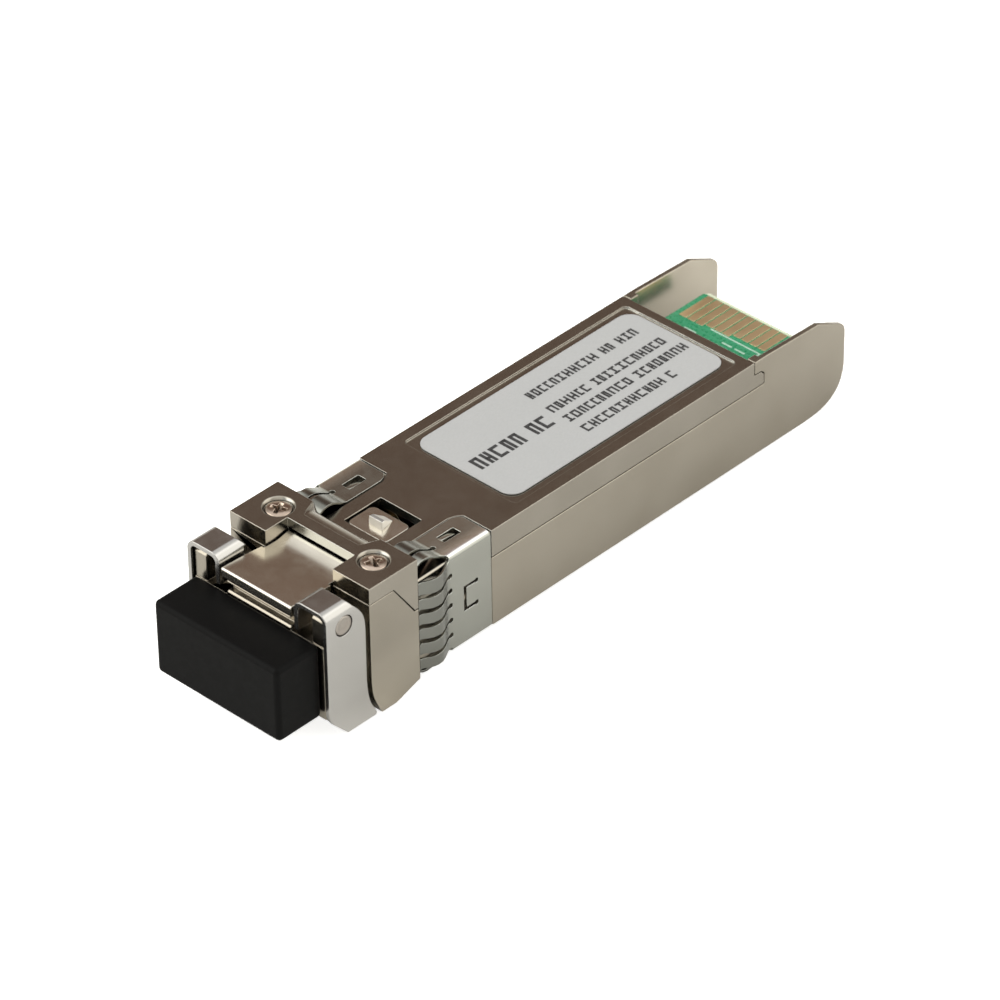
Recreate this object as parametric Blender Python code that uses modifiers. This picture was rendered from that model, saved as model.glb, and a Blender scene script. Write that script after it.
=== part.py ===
"""Pluggable duplex optical transceiver with a pull bail, a rocking latch lever and a rubber dust plug.

Dimensions are in millimetres here and become metres in the scene.
x runs across the module, y runs from the nose (front) to the card edge (rear), and z runs up
to the label side. Left is -x. y = 0 is the latch datum, 45 mm ahead of the rear end, and z = 0
is the bottom face. Spans are (low, high) pairs. Cutters run past the faces they open.
"""
import math

import bmesh
import bpy
from mathutils import Matrix, Vector

MM = 0.001
ORIGIN_Y = 20.0          # the scene origin lies this far behind the datum, on the bottom face
SIDES = (("left", -1), ("right", 1))

# body, the part that slides into the cage
BODY_HALF = 6.70
BODY_TOP = 8.50
REAR_END = 45.0
SEAM_Z = 6.10            # joint between the base housing and the top cover
SEAM_GAP = 0.04
SEAM_UNDER = SEAM_Z - SEAM_GAP / 2
SEAM_OVER = SEAM_Z + SEAM_GAP / 2
COVER_END = 34.60
COVER_TAB_END = 35.70

# front block, outside the cage
BLOCK_HALF = 7.04
BLOCK_FRONT = -6.84
BLOCK_REAR = -1.93       # the positive stop
BRIDGE_SPLIT = 9.08      # joint between the block and the cover's bridge
SPLIT_UNDER = BRIDGE_SPLIT - SEAM_GAP / 2
SPLIT_OVER = BRIDGE_SPLIT + SEAM_GAP / 2

# nose with the two connector ports
NOSE_HALF = 6.50
NOSE_FRONT = -11.00
PORT_X = 6.25 / 2        # half the port pitch
PORT_Z = 4.50

# bail pivot
PIVOT_Y = -9.40
PIVOT_Z = 8.75
PIN_R = 0.85

# latch
AXLE_Y = -3.35
AXLE_Z = 8.35
AXLE_R = 0.45
BORE_R = AXLE_R + 0.03

# grooves that the collar sits in
GROOVE_FRONT = -1.92
GROOVE_REAR = 5.98
GROOVE_HALF = 6.57
FLAP_GROOVE_HALF = 3.38
FLAP_GROOVE_TOP = 8.97   # upper limit of the cutters under the flaps

PLUG_REAR = -11.10

# circuit board faces, and the gap left to what lies against them
PCB_LOW = 5.25
PCB_HIGH = 6.25
BOARD_GAP = 0.04

# cover screws
SCREW_X = 4.79
SCREW_Y = -4.10

for old in list(bpy.data.objects):
    bpy.data.objects.remove(old, do_unlink=True)

parts = bpy.data.collections.new("optical_transceiver")
cutters = bpy.data.collections.new("cutters")
bpy.context.scene.collection.children.link(parts)
bpy.context.scene.collection.children.link(cutters)


# ---------------------------------------------------------------- spans and outlines
def place(x, y, z):
    """Millimetres from the latch datum to metres from the scene origin."""
    return Vector((x * MM, (y - ORIGIN_Y) * MM, z * MM))


def about(half, centre=0.0):
    """Span of half on each side of centre."""
    return centre - half, centre + half


def beside(sign, inner, outer):
    """x span from inner to outer on the side that sign gives."""
    return sorted((sign * inner, sign * outer))


def mirrored(outline, sign):
    """An x, y outline drawn for the right side, moved to the side that sign gives."""
    return [(sign * x, y) for x, y in outline][::sign]


def arc(centre, radius, start, end, steps):
    """Points on an arc in degrees, in the outline's own plane."""
    angles = [math.radians(start + (end - start) * i / steps) for i in range(steps + 1)]
    return [(centre[0] + radius * math.cos(a), centre[1] + radius * math.sin(a)) for a in angles]


def rounded(across, along, radius, steps=4):
    """A rectangle outline with rounded corners."""
    low_a, high_a = across[0] + radius, across[1] - radius
    low_b, high_b = along[0] + radius, along[1] - radius
    return (arc((high_a, low_b), radius, -90, 0, steps)
            + arc((high_a, high_b), radius, 0, 90, steps)
            + arc((low_a, high_b), radius, 90, 180, steps)
            + arc((low_a, low_b), radius, 180, 270, steps))


def ribbon(path, thickness):
    """Closed outline of a sheet bent along a centre line, with mitred corners."""
    points = [Vector(p) for i, p in enumerate(path)
              if i == 0 or math.dist(p, path[i - 1]) > 1e-4]
    runs = [(b - a).normalized() for a, b in zip(points, points[1:])]
    left, right = [], []
    for i, point in enumerate(points):
        before = runs[max(i - 1, 0)]
        after = runs[min(i, len(runs) - 1)]
        tangent = (before + after).normalized()
        normal = Vector((-tangent.y, tangent.x))
        reach = thickness / 2 / max(0.2, normal.dot(Vector((-before.y, before.x))))
        left.append(tuple(point + normal * reach))
        right.append(tuple(point - normal * reach))
    return left + right[::-1]


# ---------------------------------------------------------------- solids
def new_mesh(name, bm):
    mesh = bpy.data.meshes.new(name)
    bm.to_mesh(mesh)
    bm.free()
    return mesh


def part_object(name, data):
    ob = bpy.data.objects.new(name, data)
    parts.objects.link(ob)
    return ob


def tool_object(name, mesh, matrix=Matrix.Identity(4)):
    """A hidden solid for booleans; as_part can turn it into a visible part."""
    ob = bpy.data.objects.new(name, mesh)
    ob.matrix_world = matrix
    cutters.objects.link(ob)
    ob.hide_render = True
    ob.display_type = "WIRE"
    return ob


def box(name, x, y, z):
    """A block from its x, y and z spans."""
    low, high = place(x[0], y[0], z[0]), place(x[1], y[1], z[1])
    size = high - low
    bm = bmesh.new()
    bmesh.ops.create_cube(bm, size=1.0)
    for v in bm.verts:
        scaled = Vector((v.co.x * size.x, v.co.y * size.y, v.co.z * size.z))
        v.co = scaled + (low + high) / 2
    return tool_object(name, new_mesh(name, bm))


AXIS_TURN = {
    "X": Matrix.Rotation(math.pi / 2, 4, "Y"),
    "Y": Matrix.Rotation(-math.pi / 2, 4, "X"),
    "Z": Matrix.Identity(4),
}


def rod(name, axis, centre, radius, span, segments=32, end_radius=None):
    """A cylinder or cone on one axis; span is along that axis, where centre is ignored."""
    bm = bmesh.new()
    bmesh.ops.create_cone(bm, cap_ends=True, cap_tris=False, segments=segments,
                          radius1=radius * MM,
                          radius2=(radius if end_radius is None else end_radius) * MM,
                          depth=(span[1] - span[0]) * MM)
    bmesh.ops.transform(bm, matrix=AXIS_TURN[axis], verts=bm.verts)
    middle = list(centre)
    middle["XYZ".index(axis)] = (span[0] + span[1]) / 2
    bmesh.ops.translate(bm, vec=place(*middle), verts=bm.verts)
    for face in bm.faces:
        face.smooth = len(face.verts) == 4
    return tool_object(name, new_mesh(name, bm))


# turn from an outline's own axes to the plane named
PLANES = {
    "YZ": Matrix(((0, 0, 1, 0), (1, 0, 0, 0), (0, 1, 0, 0), (0, 0, 0, 1))),
    "XZ": Matrix(((1, 0, 0, 0), (0, 0, -1, 0), (0, 1, 0, 0), (0, 0, 0, 1))),
    "XY": Matrix.Identity(4),
}


def plate(name, outline, plane, span):
    """A flat outline, in the plane named, extruded across span on the third axis."""
    curve = bpy.data.curves.new(name, "CURVE")
    curve.dimensions = "2D"
    curve.fill_mode = "BOTH"
    curve.extrude = (span[1] - span[0]) / 2 * MM
    spline = curve.splines.new("POLY")
    spline.points.add(len(outline) - 1)
    for point, (a, b) in zip(spline.points, outline):
        point.co = (a * MM, b * MM, 0.0, 1.0)
    spline.use_cyclic_u = True
    drawn = bpy.data.objects.new(name + "_outline", curve)
    bpy.context.scene.collection.objects.link(drawn)
    middle = (span[0] + span[1]) / 2
    centre = {"YZ": (middle, 0, 0), "XZ": (0, middle, 0), "XY": (0, 0, middle)}[plane]
    drawn.matrix_world = Matrix.Translation(place(*centre)) @ PLANES[plane]
    bpy.context.view_layer.update()
    graph = bpy.context.evaluated_depsgraph_get()
    mesh = bpy.data.meshes.new_from_object(drawn.evaluated_get(graph))
    # weld the caps to the rim and merge the fill triangles into flat faces
    bm = bmesh.new()
    bm.from_mesh(mesh)
    bmesh.ops.remove_doubles(bm, verts=bm.verts, dist=1e-6)
    bmesh.ops.dissolve_limit(bm, angle_limit=math.radians(0.5), verts=bm.verts, edges=bm.edges)
    bmesh.ops.recalc_face_normals(bm, faces=bm.faces)
    bm.to_mesh(mesh)
    bm.free()
    mesh.name = name
    matrix = drawn.matrix_world.copy()
    bpy.data.objects.remove(drawn, do_unlink=True)
    return tool_object(name, mesh, matrix)


def turned(name, profile, x, z, mat, segments):
    """A solid of revolution about a line along y; profile holds radius and y."""
    bm = bmesh.new()
    verts = [bm.verts.new((radius * MM, 0.0, -y * MM)) for radius, y in profile]
    for a, b in zip(verts, verts[1:]):
        bm.edges.new((a, b))
    ob = part_object(name, new_mesh(name, bm))
    ob.matrix_world = Matrix.Translation(place(x, 0, z)) @ Matrix.Rotation(math.pi / 2, 4, "X")
    turn = ob.modifiers.new("turn", "SCREW")
    turn.axis = "Z"
    turn.steps = segments
    turn.render_steps = segments
    turn.use_merge_vertices = True
    turn.merge_threshold = 1e-6
    turn.use_smooth_shade = True
    turn.use_normal_calculate = True
    ob.data.materials.append(mat)
    ob.parent = housing_frame


def as_part(ob, name):
    """Moves a tool solid into the parts collection, as the first solid of a part."""
    cutters.objects.unlink(ob)
    parts.objects.link(ob)
    ob.name = name
    ob.data.name = name
    ob.hide_render = False
    ob.display_type = "TEXTURED"
    return ob


def boolean(ob, tool, operation):
    mod = ob.modifiers.new(operation.lower() + "_" + tool.name, "BOOLEAN")
    mod.operation = operation
    mod.solver = "EXACT"
    mod.object = tool


def cut(ob, tool):
    boolean(ob, tool, "DIFFERENCE")


def add(ob, tool):
    boolean(ob, tool, "UNION")


def bevel(ob, name, width, segments):
    mod = ob.modifiers.new(name, "BEVEL")
    mod.width = width * MM
    mod.segments = segments
    return mod


def finish(ob, mat, frame):
    """Gives a part its material and hangs it on an empty, with its origin there."""
    ob.data.materials.clear()
    ob.data.materials.append(mat)
    ob.data.transform(Matrix.Translation(-frame.location) @ ob.matrix_world)
    ob.matrix_world = Matrix.Identity(4)
    ob.parent = frame


def axis_empty(name, at):
    empty = part_object(name, None)
    empty.empty_display_size = 0.004
    empty.location = at
    return empty


housing_frame = axis_empty("housing_frame", Vector((0, 0, 0)))
bail_axis = axis_empty("bail_axis", place(0, PIVOT_Y, PIVOT_Z))
latch_axis = axis_empty("latch_axis", place(0, AXLE_Y, AXLE_Z))
plug_axis = axis_empty("plug_axis", place(0, PLUG_REAR, PORT_Z))


# ---------------------------------------------------------------- materials
def material(name, colour, roughness, metallic=0.0):
    mat = bpy.data.materials.new(name)
    mat.use_nodes = True
    bsdf = mat.node_tree.nodes["Principled BSDF"]
    bsdf.inputs["Base Color"].default_value = (*colour, 1.0)
    bsdf.inputs["Roughness"].default_value = roughness
    bsdf.inputs["Metallic"].default_value = metallic
    return mat


nickel = material("nickel_plate", (0.58, 0.55, 0.50), roughness=0.28, metallic=1.0)
nickel_bright = material("nickel_bright", (0.70, 0.68, 0.64), roughness=0.18, metallic=1.0)
spring_steel = material("spring_steel", (0.62, 0.61, 0.58), roughness=0.25, metallic=1.0)
gold_steel = material("gold_plate", (0.75, 0.58, 0.28), roughness=0.25, metallic=1.0)
rubber = material("black_rubber", (0.02, 0.02, 0.021), roughness=0.55)
solder_mask = material("green_solder_mask", (0.02, 0.30, 0.14), roughness=0.35)
paper = material("label_paper", (0.62, 0.62, 0.63), roughness=0.5)
ceramic = material("zirconia", (0.85, 0.84, 0.80), roughness=0.3)
chip = material("mould_compound", (0.03, 0.03, 0.033), roughness=0.5)
flex_film = material("flex_film", (0.55, 0.33, 0.08), roughness=0.4)
gel = material("gap_filler", (0.35, 0.45, 0.55), roughness=0.7)
tan_ceramic = material("capacitor_ceramic", (0.42, 0.30, 0.18), roughness=0.5)


# ---------------------------------------------------------------- base housing
WALL = 0.80
FLOOR = 1.00
BULKHEAD_REAR = -2.00
WING_WALL = 0.45
WING_TOP = 8.30          # the wings fall away a little towards the rear
WING_TOP_END = 41.60
REAR_ROUND = 0.90        # upper rear corner
END_GAP = 0.06           # between the cover's rear end and the base
BLOCK_BOTTOM = -1.00
NOSE_BOTTOM = 0.90
NOSE_TOP = 7.28
LIP_HALF = 3.20          # the raised lip under the lever's front edge
LIP_TOP = 7.60
RIB_INNER = 5.32         # ribs that hold the bail pins
RIB_R = 1.17
PORT_HALF = 2.45
PORT_END_Y = -3.00

# base outlines, as y, z points
TUB_LINE = (
    [(-3.0, 0.0), (40.6, 0.0), (41.7, 0.08), (42.6, 0.25), (43.4, 0.55), (44.1, 1.05),
     (44.6, 1.75), (44.9, 2.6), (REAR_END, 3.5)]
    + arc((REAR_END - REAR_ROUND, 6.15), REAR_ROUND, 0, 72, 5)
    + [(WING_TOP_END, WING_TOP), (36.20, BODY_TOP), (COVER_END + END_GAP, BODY_TOP),
       (COVER_END + END_GAP, 7.40), (COVER_TAB_END - 0.30, 7.36),
       (COVER_TAB_END + END_GAP, 7.05), (COVER_TAB_END + END_GAP, SEAM_UNDER),
       (-3.0, SEAM_UNDER)])
BLOCK_LINE = [
    (BLOCK_FRONT, SPLIT_UNDER), (BLOCK_FRONT, 2.2), (-6.70, 0.90), (-6.28, -0.20),
    (-5.90, BLOCK_BOTTOM), (-4.40, BLOCK_BOTTOM), (BLOCK_REAR, -0.20),
    (BLOCK_REAR, SEAM_UNDER), (-2.33, SEAM_UNDER), (-4.40, SPLIT_UNDER)]
LIP_LINE = [
    (-7.40, 7.0), (-7.40, 8.48), (-10.97, 8.48), (-10.97, 8.36), (-10.45, 8.36),
    (-10.45, LIP_TOP), (-10.84, LIP_TOP), (NOSE_FRONT, LIP_TOP - 0.16), (NOSE_FRONT, 7.0)]
RIB_LINE = ([(-10.90, 7.0), (-10.90, 9.46), (-10.56, 9.80)]
            + arc((PIVOT_Y, PIVOT_Z), RIB_R, 64, 0, 6) + [(PIVOT_Y + RIB_R, 7.0)])


def base_side(base, side, sign):
    """Board ledge, collar groove, port and holes on one side of the base."""
    port_x = sign * PORT_X
    add(base, box("board_ledge_" + side, beside(sign, 5.05, 6.10), (12.0, 33.0),
                  (0.5, PCB_LOW - BOARD_GAP)))
    cut(base, box("collar_groove_" + side, beside(sign, GROOVE_HALF, 7.5),
                  (GROOVE_FRONT, GROOVE_REAR), (-1.0, 9.0)))
    cut(base, box("port_" + side, about(PORT_HALF, port_x), (-12.0, PORT_END_Y),
                  about(PORT_HALF, PORT_Z)))
    cut(base, box("port_key_" + side, about(1.5, port_x), (-12.1, -7.0), (1.40, 2.4)))
    cut(base, rod("barrel_hole_" + side, "Y", (port_x, 0, PORT_Z), 1.60, (-3.3, -1.8)))
    cut(base, rod("base_screw_hole_" + side, "Z", (sign * SCREW_X, SCREW_Y, 0), 0.62,
                  (7.35, 9.3), 24))
    cut(base, rod("rib_pin_hole_" + side, "X", (0, PIVOT_Y, PIVOT_Z), PIN_R + 0.02,
                  beside(sign, 5.50, 7.2)))


def base_housing():
    base = as_part(plate("base_tub", TUB_LINE, "YZ", about(BODY_HALF)), "base_housing")
    add(base, plate("base_block", BLOCK_LINE, "YZ", about(BLOCK_HALF)))
    add(base, box("base_core", about(6.30), (-6.50, -2.42), (3.0, 9.03)))
    add(base, box("base_nose", about(NOSE_HALF), (NOSE_FRONT, -6.0), (NOSE_BOTTOM, NOSE_TOP)))
    add(base, plate("nose_roof_step", LIP_LINE, "YZ", about(LIP_HALF)))
    for side, sign in SIDES:
        add(base, plate("rib_" + side, RIB_LINE, "YZ", beside(sign, RIB_INNER, NOSE_HALF)))
    cut(base, box("base_cavity", about(BODY_HALF - WALL), (BULKHEAD_REAR, 35.55), (FLOOR, 8.9)))
    cut(base, box("rear_opening", about(BODY_HALF - WING_WALL), (35.50, 47.0), (-1.0, 10.0)))
    for side, sign in SIDES:
        base_side(base, side, sign)
    cut(base, box("collar_groove_bottom", about(7.0), (GROOVE_FRONT, GROOVE_REAR),
                  (-1.5, 0.14)))
    cut(base, box("lever_pocket", about(3.36), (-7.10, -1.80), (7.35, 9.6)))
    cut(base, rod("axle_seat", "X", (0, AXLE_Y, AXLE_Z), BORE_R, about(4.05), 24))
    add(base, box("spring_post", about(0.85), (0.70, 2.60), (0.5, 4.90)))
    finish(base, nickel, housing_frame)


# ---------------------------------------------------------------- top cover
COVER_CAVITY_HALF = 5.98
BRIDGE_TOP = 10.49
NOTCH_HALF = 3.37
NOTCH_REAR = -4.60
CROSSBAR_UNDER = 9.62
CORE_GAP_REAR = -2.37
FINGER_RELIEF = 8.07     # the cover is cut down under the sprung fingers

# window over the latch tongue
WINDOW_HALF = 2.07
WINDOW_FRONT = -0.22
WINDOW_REAR = 3.56

# cover outlines, as y, z points
COVER_LINE = [
    (-2.2, BODY_TOP), (COVER_END, BODY_TOP), (COVER_END, 7.34), (COVER_TAB_END - 0.32, 7.30),
    (COVER_TAB_END, 7.00), (COVER_TAB_END, SEAM_OVER), (-2.2, SEAM_OVER)]
BRIDGE_LINE = [
    (BLOCK_FRONT, SPLIT_OVER), (BLOCK_FRONT, BRIDGE_TOP), (BLOCK_REAR, BRIDGE_TOP),
    (BLOCK_REAR, SEAM_OVER), (-2.30, SEAM_OVER), (-4.37, SPLIT_OVER)]
# eases the upper rear edge of the crossbar
EASE_LINE = [
    (-3.50, 10.9), (-3.50, 10.47), (-3.20, 10.43), (-2.90, 10.35), (-2.62, 10.22),
    (-2.36, 10.03), (-2.16, 9.78), (-2.03, 9.48), (-1.98, 9.20), (-1.0, 9.20), (-1.0, 10.9)]
# groove for the right collar flap, as x, y points
FLAP_GROOVE_LINE = [
    (FLAP_GROOVE_HALF, GROOVE_FRONT), (7.4, GROOVE_FRONT), (7.4, GROOVE_REAR),
    (3.90, GROOVE_REAR), (3.56, 5.52), (FLAP_GROOVE_HALF, 4.94)]


def cover_side(cover, side, sign):
    """Collar grooves and screw hole on one side of the cover."""
    screw_at = (sign * SCREW_X, SCREW_Y, 0)
    cut(cover, plate("flap_groove_" + side, mirrored(FLAP_GROOVE_LINE, sign), "XY",
                     (8.35, FLAP_GROOVE_TOP)))
    cut(cover, box("finger_relief_" + side, beside(sign, FLAP_GROOVE_HALF, 7.5),
                   (GROOVE_FRONT, 1.60), (FINGER_RELIEF, FLAP_GROOVE_TOP)))
    cut(cover, box("cover_groove_" + side, beside(sign, GROOVE_HALF, 7.6),
                   (GROOVE_FRONT, GROOVE_REAR), (5.5, 8.95)))
    cut(cover, rod("cover_screw_hole_" + side, "Z", screw_at, 0.66, (8.7, 10.0)))
    cut(cover, rod("cover_countersink_" + side, "Z", screw_at, 0.62, (9.75, 10.55), 40,
                   end_radius=1.22))


def top_cover():
    cover = as_part(plate("cover_shell", COVER_LINE, "YZ", about(BODY_HALF)), "top_cover")
    cavity_x = about(COVER_CAVITY_HALF)
    cut(cover, box("cover_cavity", cavity_x, (-3.0, 33.90), (5.0, 7.70)))
    cut(cover, box("cover_rear_gap", cavity_x, (33.5, 36.5), (5.0, 6.60)))
    cut(cover, box("cover_rear_step", cavity_x, (COVER_END, 36.6), (5.2, 9.0)))
    add(cover, plate("cover_bridge", BRIDGE_LINE, "YZ", about(BLOCK_HALF)))
    cut(cover, plate("crossbar_ease", EASE_LINE, "YZ", about(3.10)))
    cut(cover, box("bridge_core_gap", about(6.33), (-7.2, CORE_GAP_REAR), (5.1, 9.06)))
    cut(cover, box("bridge_notch", about(NOTCH_HALF), (-7.3, NOTCH_REAR), (5.3, 11.0)))
    cut(cover, box("crossbar_under", about(NOTCH_HALF - 0.01), (-4.9, CORE_GAP_REAR),
                   (8.0, CROSSBAR_UNDER)))
    cut(cover, box("lever_passage", about(2.20), (-3.1, 0.2), (5.4, 8.16)))
    cut(cover, box("latch_window", about(WINDOW_HALF), (WINDOW_FRONT, WINDOW_REAR), (7.0, 9.4)))
    cut(cover, plate("label_recess", rounded(about(5.65), (9.60, 33.75), 0.4), "XY",
                     (8.35, 9.0)))
    for side, sign in SIDES:
        cover_side(cover, side, sign)
    finish(cover, nickel, housing_frame)


# ---------------------------------------------------------------- screws
SHANK_R = 0.58
CROSS_HALF_LENGTH = 0.48
CROSS_HALF_WIDTH = 0.09
CROSS_TURN = {"left": 20, "right": 65}   # degrees each recess is turned


def cover_screw(side, sign):
    at = (sign * SCREW_X, SCREW_Y, 0)
    screw = as_part(rod("screw_shank_" + side, "Z", at, SHANK_R, (7.45, 9.80)),
                    "cover_screw_" + side)
    add(screw, rod("screw_head_" + side, "Z", at, SHANK_R, (9.76, 10.24), end_radius=0.95))
    add(screw, rod("screw_rim_" + side, "Z", at, 0.94, (10.22, 10.30), end_radius=0.90))
    for k in range(2):
        # the slot is built on the scene origin, so that it can be turned before it is placed
        slot = box("cross_%s_%d" % (side, k), about(CROSS_HALF_LENGTH),
                   about(CROSS_HALF_WIDTH, ORIGIN_Y), (10.02, 10.60))
        turn = math.radians(CROSS_TURN[side]) + k * math.pi / 2
        slot.matrix_world = Matrix.Translation(place(*at)) @ Matrix.Rotation(turn, 4, "Z")
        cut(screw, slot)
    finish(screw, nickel_bright, housing_frame)


# ---------------------------------------------------------------- bail
SHEET = 0.40
CHEEK_INNER = 3.75
CAP_TOP = 10.40
BAIL_LOW = -1.33
BEND = 0.68              # bend radius on the middle of the sheet
CAM_OFFSET = 0.70        # the cam pegs lie this far ahead of the pivot
CAM_PEG_R = 0.25

# side view of the whole bail, as y, z points
BAIL_LINE = [
    (-11.15, 1.50), (-11.15, 10.60), (-8.95, 10.60), (-8.45, 10.00), (-7.90, 9.35),
    (-7.52, 8.70), (-7.33, 7.90), (-7.33, 2.70), (-7.22, 1.50), (-6.98, 0.50),
    (-6.60, -0.25), (-6.38, -0.80), (-6.42, -1.20), (-6.58, -1.60), (-8.55, -1.60),
    (-8.95, -1.30), (-10.70, 0.55), (-11.05, 1.05)]
# what is cut from under the cheeks, as y, z points
CHEEK_UNDER_LINE = ([(-12.0, 7.0), (-12.0, 7.85), (-10.0, 7.80), (PIVOT_Y, 7.80)]
                    + arc((PIVOT_Y, PIVOT_Z), 0.95, -80, -35, 4) + [(-8.0, 8.10), (-8.0, 7.0)])


def bail_path():
    """Middle of the sheet seen along y: cheek, cap, arm and low bar, then mirrored."""
    cheek = CHEEK_INNER + SHEET / 2
    cap = CAP_TOP - SHEET / 2
    arm = BLOCK_HALF - SHEET / 2
    bar = BAIL_LOW + SHEET / 2
    half = ([(cheek, 7.60)]
            + arc((cheek + BEND, cap - BEND), BEND, 180, 90, 4)
            + arc((arm - BEND, cap - BEND), BEND, 90, 0, 4)
            + arc((arm - BEND, bar + BEND), BEND, 0, -90, 4))
    return half + [(-x, z) for x, z in reversed(half)]


def bail():
    ob = as_part(plate("bail_sheet", ribbon(bail_path(), SHEET), "XZ", (-11.6, -6.0)), "bail")
    boolean(ob, plate("bail_silhouette", BAIL_LINE, "YZ", about(8.0)), "INTERSECT")
    cut(ob, box("cheek_trim_rear", about(5.0), (-8.62, -5.0), (5.0, 9.88)))
    cut(ob, plate("cheek_trim_low", CHEEK_UNDER_LINE, "YZ", about(5.1)))
    for side, sign in SIDES:
        cut(ob, rod("arm_hole_" + side, "X", (0, PIVOT_Y, PIVOT_Z), PIN_R + 0.06,
                    beside(sign, 6.0, 7.5)))
        add(ob, rod("cam_peg_" + side, "X", (0, PIVOT_Y - CAM_OFFSET, PIVOT_Z), CAM_PEG_R,
                    beside(sign, 3.12, CHEEK_INNER + 0.3), 24))
    finish(ob, nickel_bright, bail_axis)


def bail_pin(side, sign):
    pin = rod("pin_body_" + side, "X", (0, PIVOT_Y, PIVOT_Z), PIN_R, beside(sign, 5.55, 7.02))
    finish(as_part(pin, "bail_pin_" + side), nickel, housing_frame)


# ---------------------------------------------------------------- latch lever
LEVER_HALF = 3.25
LEVER_FRONT_HALF = 3.50
TONGUE_HALF = 1.93
TONGUE_START = -0.12
TONGUE_END = 2.60
TONGUE_TOP = 8.36
NECK_TOP = 8.05
NECK_END = TONGUE_START + 0.4
BOSS_HALF = 0.68
BOSS_FRONT = 0.90
BOSS_REAR = BOSS_FRONT + 1.45
BOSS_TOP = 9.00

# side view of the lever and its boss, as y, z points
LEVER_LINE = [
    (-11.20, 8.80), (-11.20, 9.30), (-11.12, 9.48), (-10.95, 9.55), (-9.60, 9.47),
    (-8.40, 9.38), (-7.40, 9.29), (-6.80, 9.24), (-6.30, 9.215), (-5.80, 9.24),
    (-5.30, 9.32), (-4.80, 9.42), (-4.00, 9.42), (-3.20, 9.25), (-2.70, 8.85),
    (-2.56, 8.40), (-2.56, NECK_TOP), (NECK_END, NECK_TOP), (NECK_END, 7.55), (-2.40, 7.55),
    (-4.00, 7.66), (-4.40, 8.05), (-5.00, 8.60), (-5.60, 8.72), (-6.90, 8.72),
    (-7.60, 8.92), (-8.30, 9.13), (-10.80, 9.13), (-10.80, 8.80)]
BOSS_LINE = [
    (BOSS_FRONT, 7.9), (BOSS_FRONT, BOSS_TOP), (BOSS_FRONT + 0.30, BOSS_TOP),
    (BOSS_REAR, TONGUE_TOP - 0.03), (BOSS_REAR, 7.9)]
# tapers the right side of the boss towards the rear, as x, y points
BOSS_SHAVE_LINE = [
    (BOSS_HALF + 0.02, BOSS_FRONT - 0.1), (1.4, BOSS_FRONT - 0.1), (1.4, BOSS_FRONT + 2.0),
    (0.34, BOSS_FRONT + 2.0), (0.34, BOSS_FRONT + 1.5)]


def latch_lever():
    lever = as_part(plate("lever_profile", LEVER_LINE, "YZ", about(LEVER_FRONT_HALF)),
                    "latch_lever")
    for side, sign in SIDES:
        cut(lever, box("lever_side_" + side, beside(sign, LEVER_HALF, 4.5), (-7.15, 3.5),
                       (7.0, 10.0)))
        cut(lever, box("tongue_side_" + side, beside(sign, TONGUE_HALF, 4.6), (-2.50, 3.6),
                       (6.9, 10.1)))
    cut(lever, rod("lever_bore", "X", (0, AXLE_Y, AXLE_Z), BORE_R, about(4.7), 24))
    tongue = rounded(about(TONGUE_HALF), (TONGUE_START, TONGUE_END), 0.45)
    add(lever, plate("latch_tongue", tongue, "XY", (7.552, TONGUE_TOP)))
    add(lever, plate("latch_boss", BOSS_LINE, "YZ", about(BOSS_HALF)))
    for side, sign in SIDES:
        cut(lever, plate("boss_shave_" + side, mirrored(BOSS_SHAVE_LINE, sign), "XY",
                         (TONGUE_TOP, 9.5)))
    finish(lever, nickel, latch_axis)


def latch_axle():
    axle = rod("axle_body", "X", (0, AXLE_Y, AXLE_Z), AXLE_R, about(4.0), 24)
    finish(as_part(axle, "latch_axle"), spring_steel, housing_frame)


# ---------------------------------------------------------------- coil spring under the tongue
SPRING_R = 0.60
WIRE_R = 0.11
SPRING_Y = 1.65
SPRING_LOW = 5.05
SPRING_HIGH = 7.40
COILS = 4
COIL_STEPS = 12          # points per turn


def latch_spring():
    curve = bpy.data.curves.new("latch_spring", "CURVE")
    curve.dimensions = "3D"
    curve.bevel_depth = WIRE_R * MM
    curve.bevel_resolution = 2
    curve.use_fill_caps = True
    spline = curve.splines.new("POLY")
    spline.points.add(COILS * COIL_STEPS)
    for i, point in enumerate(spline.points):
        angle = 2 * math.pi * i / COIL_STEPS
        height = SPRING_LOW + (SPRING_HIGH - SPRING_LOW) * i / (COILS * COIL_STEPS)
        centre = place(SPRING_R * math.cos(angle), SPRING_Y + SPRING_R * math.sin(angle), height)
        point.co = (*centre, 1.0)
    curve.materials.append(spring_steel)
    part_object("latch_spring", curve).parent = housing_frame


# ---------------------------------------------------------------- collar
COLLAR_FRONT = -1.85
COLLAR_BAND = 1.45       # the solid band lies behind this, the fingers ahead of it
COLLAR_REAR = 5.82
COLLAR_T = 0.18
COLLAR_SIDE = 6.69       # this and the next two are on the middle of the sheet
COLLAR_TOP = 8.46
COLLAR_BOTTOM = 0.02
COLLAR_CORNER = 0.20
COLLAR_FLAP = 3.46       # x of the free edges of the two top flaps
FLAP_EDGE = (3.95, 3.62, COLLAR_FLAP)    # x of a free edge on the three rearmost rows
SLIT = 0.28
FINGER_BULGE = 0.68      # how far the fingers bow outwards
FINGER_ROWS = 8
BAND_ROWS = [COLLAR_REAR, 5.45, 4.9]
# y of each row of the sheet, from the rear forwards
COLLAR_ROWS = BAND_ROWS + [COLLAR_BAND + (COLLAR_FRONT - COLLAR_BAND) * i / FINGER_ROWS
                           for i in range(FINGER_ROWS + 1)]
CORNER_X = COLLAR_SIDE - COLLAR_CORNER
CORNER_TOP = COLLAR_TOP - COLLAR_CORNER
CORNER_LOW = COLLAR_BOTTOM + COLLAR_CORNER
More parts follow.
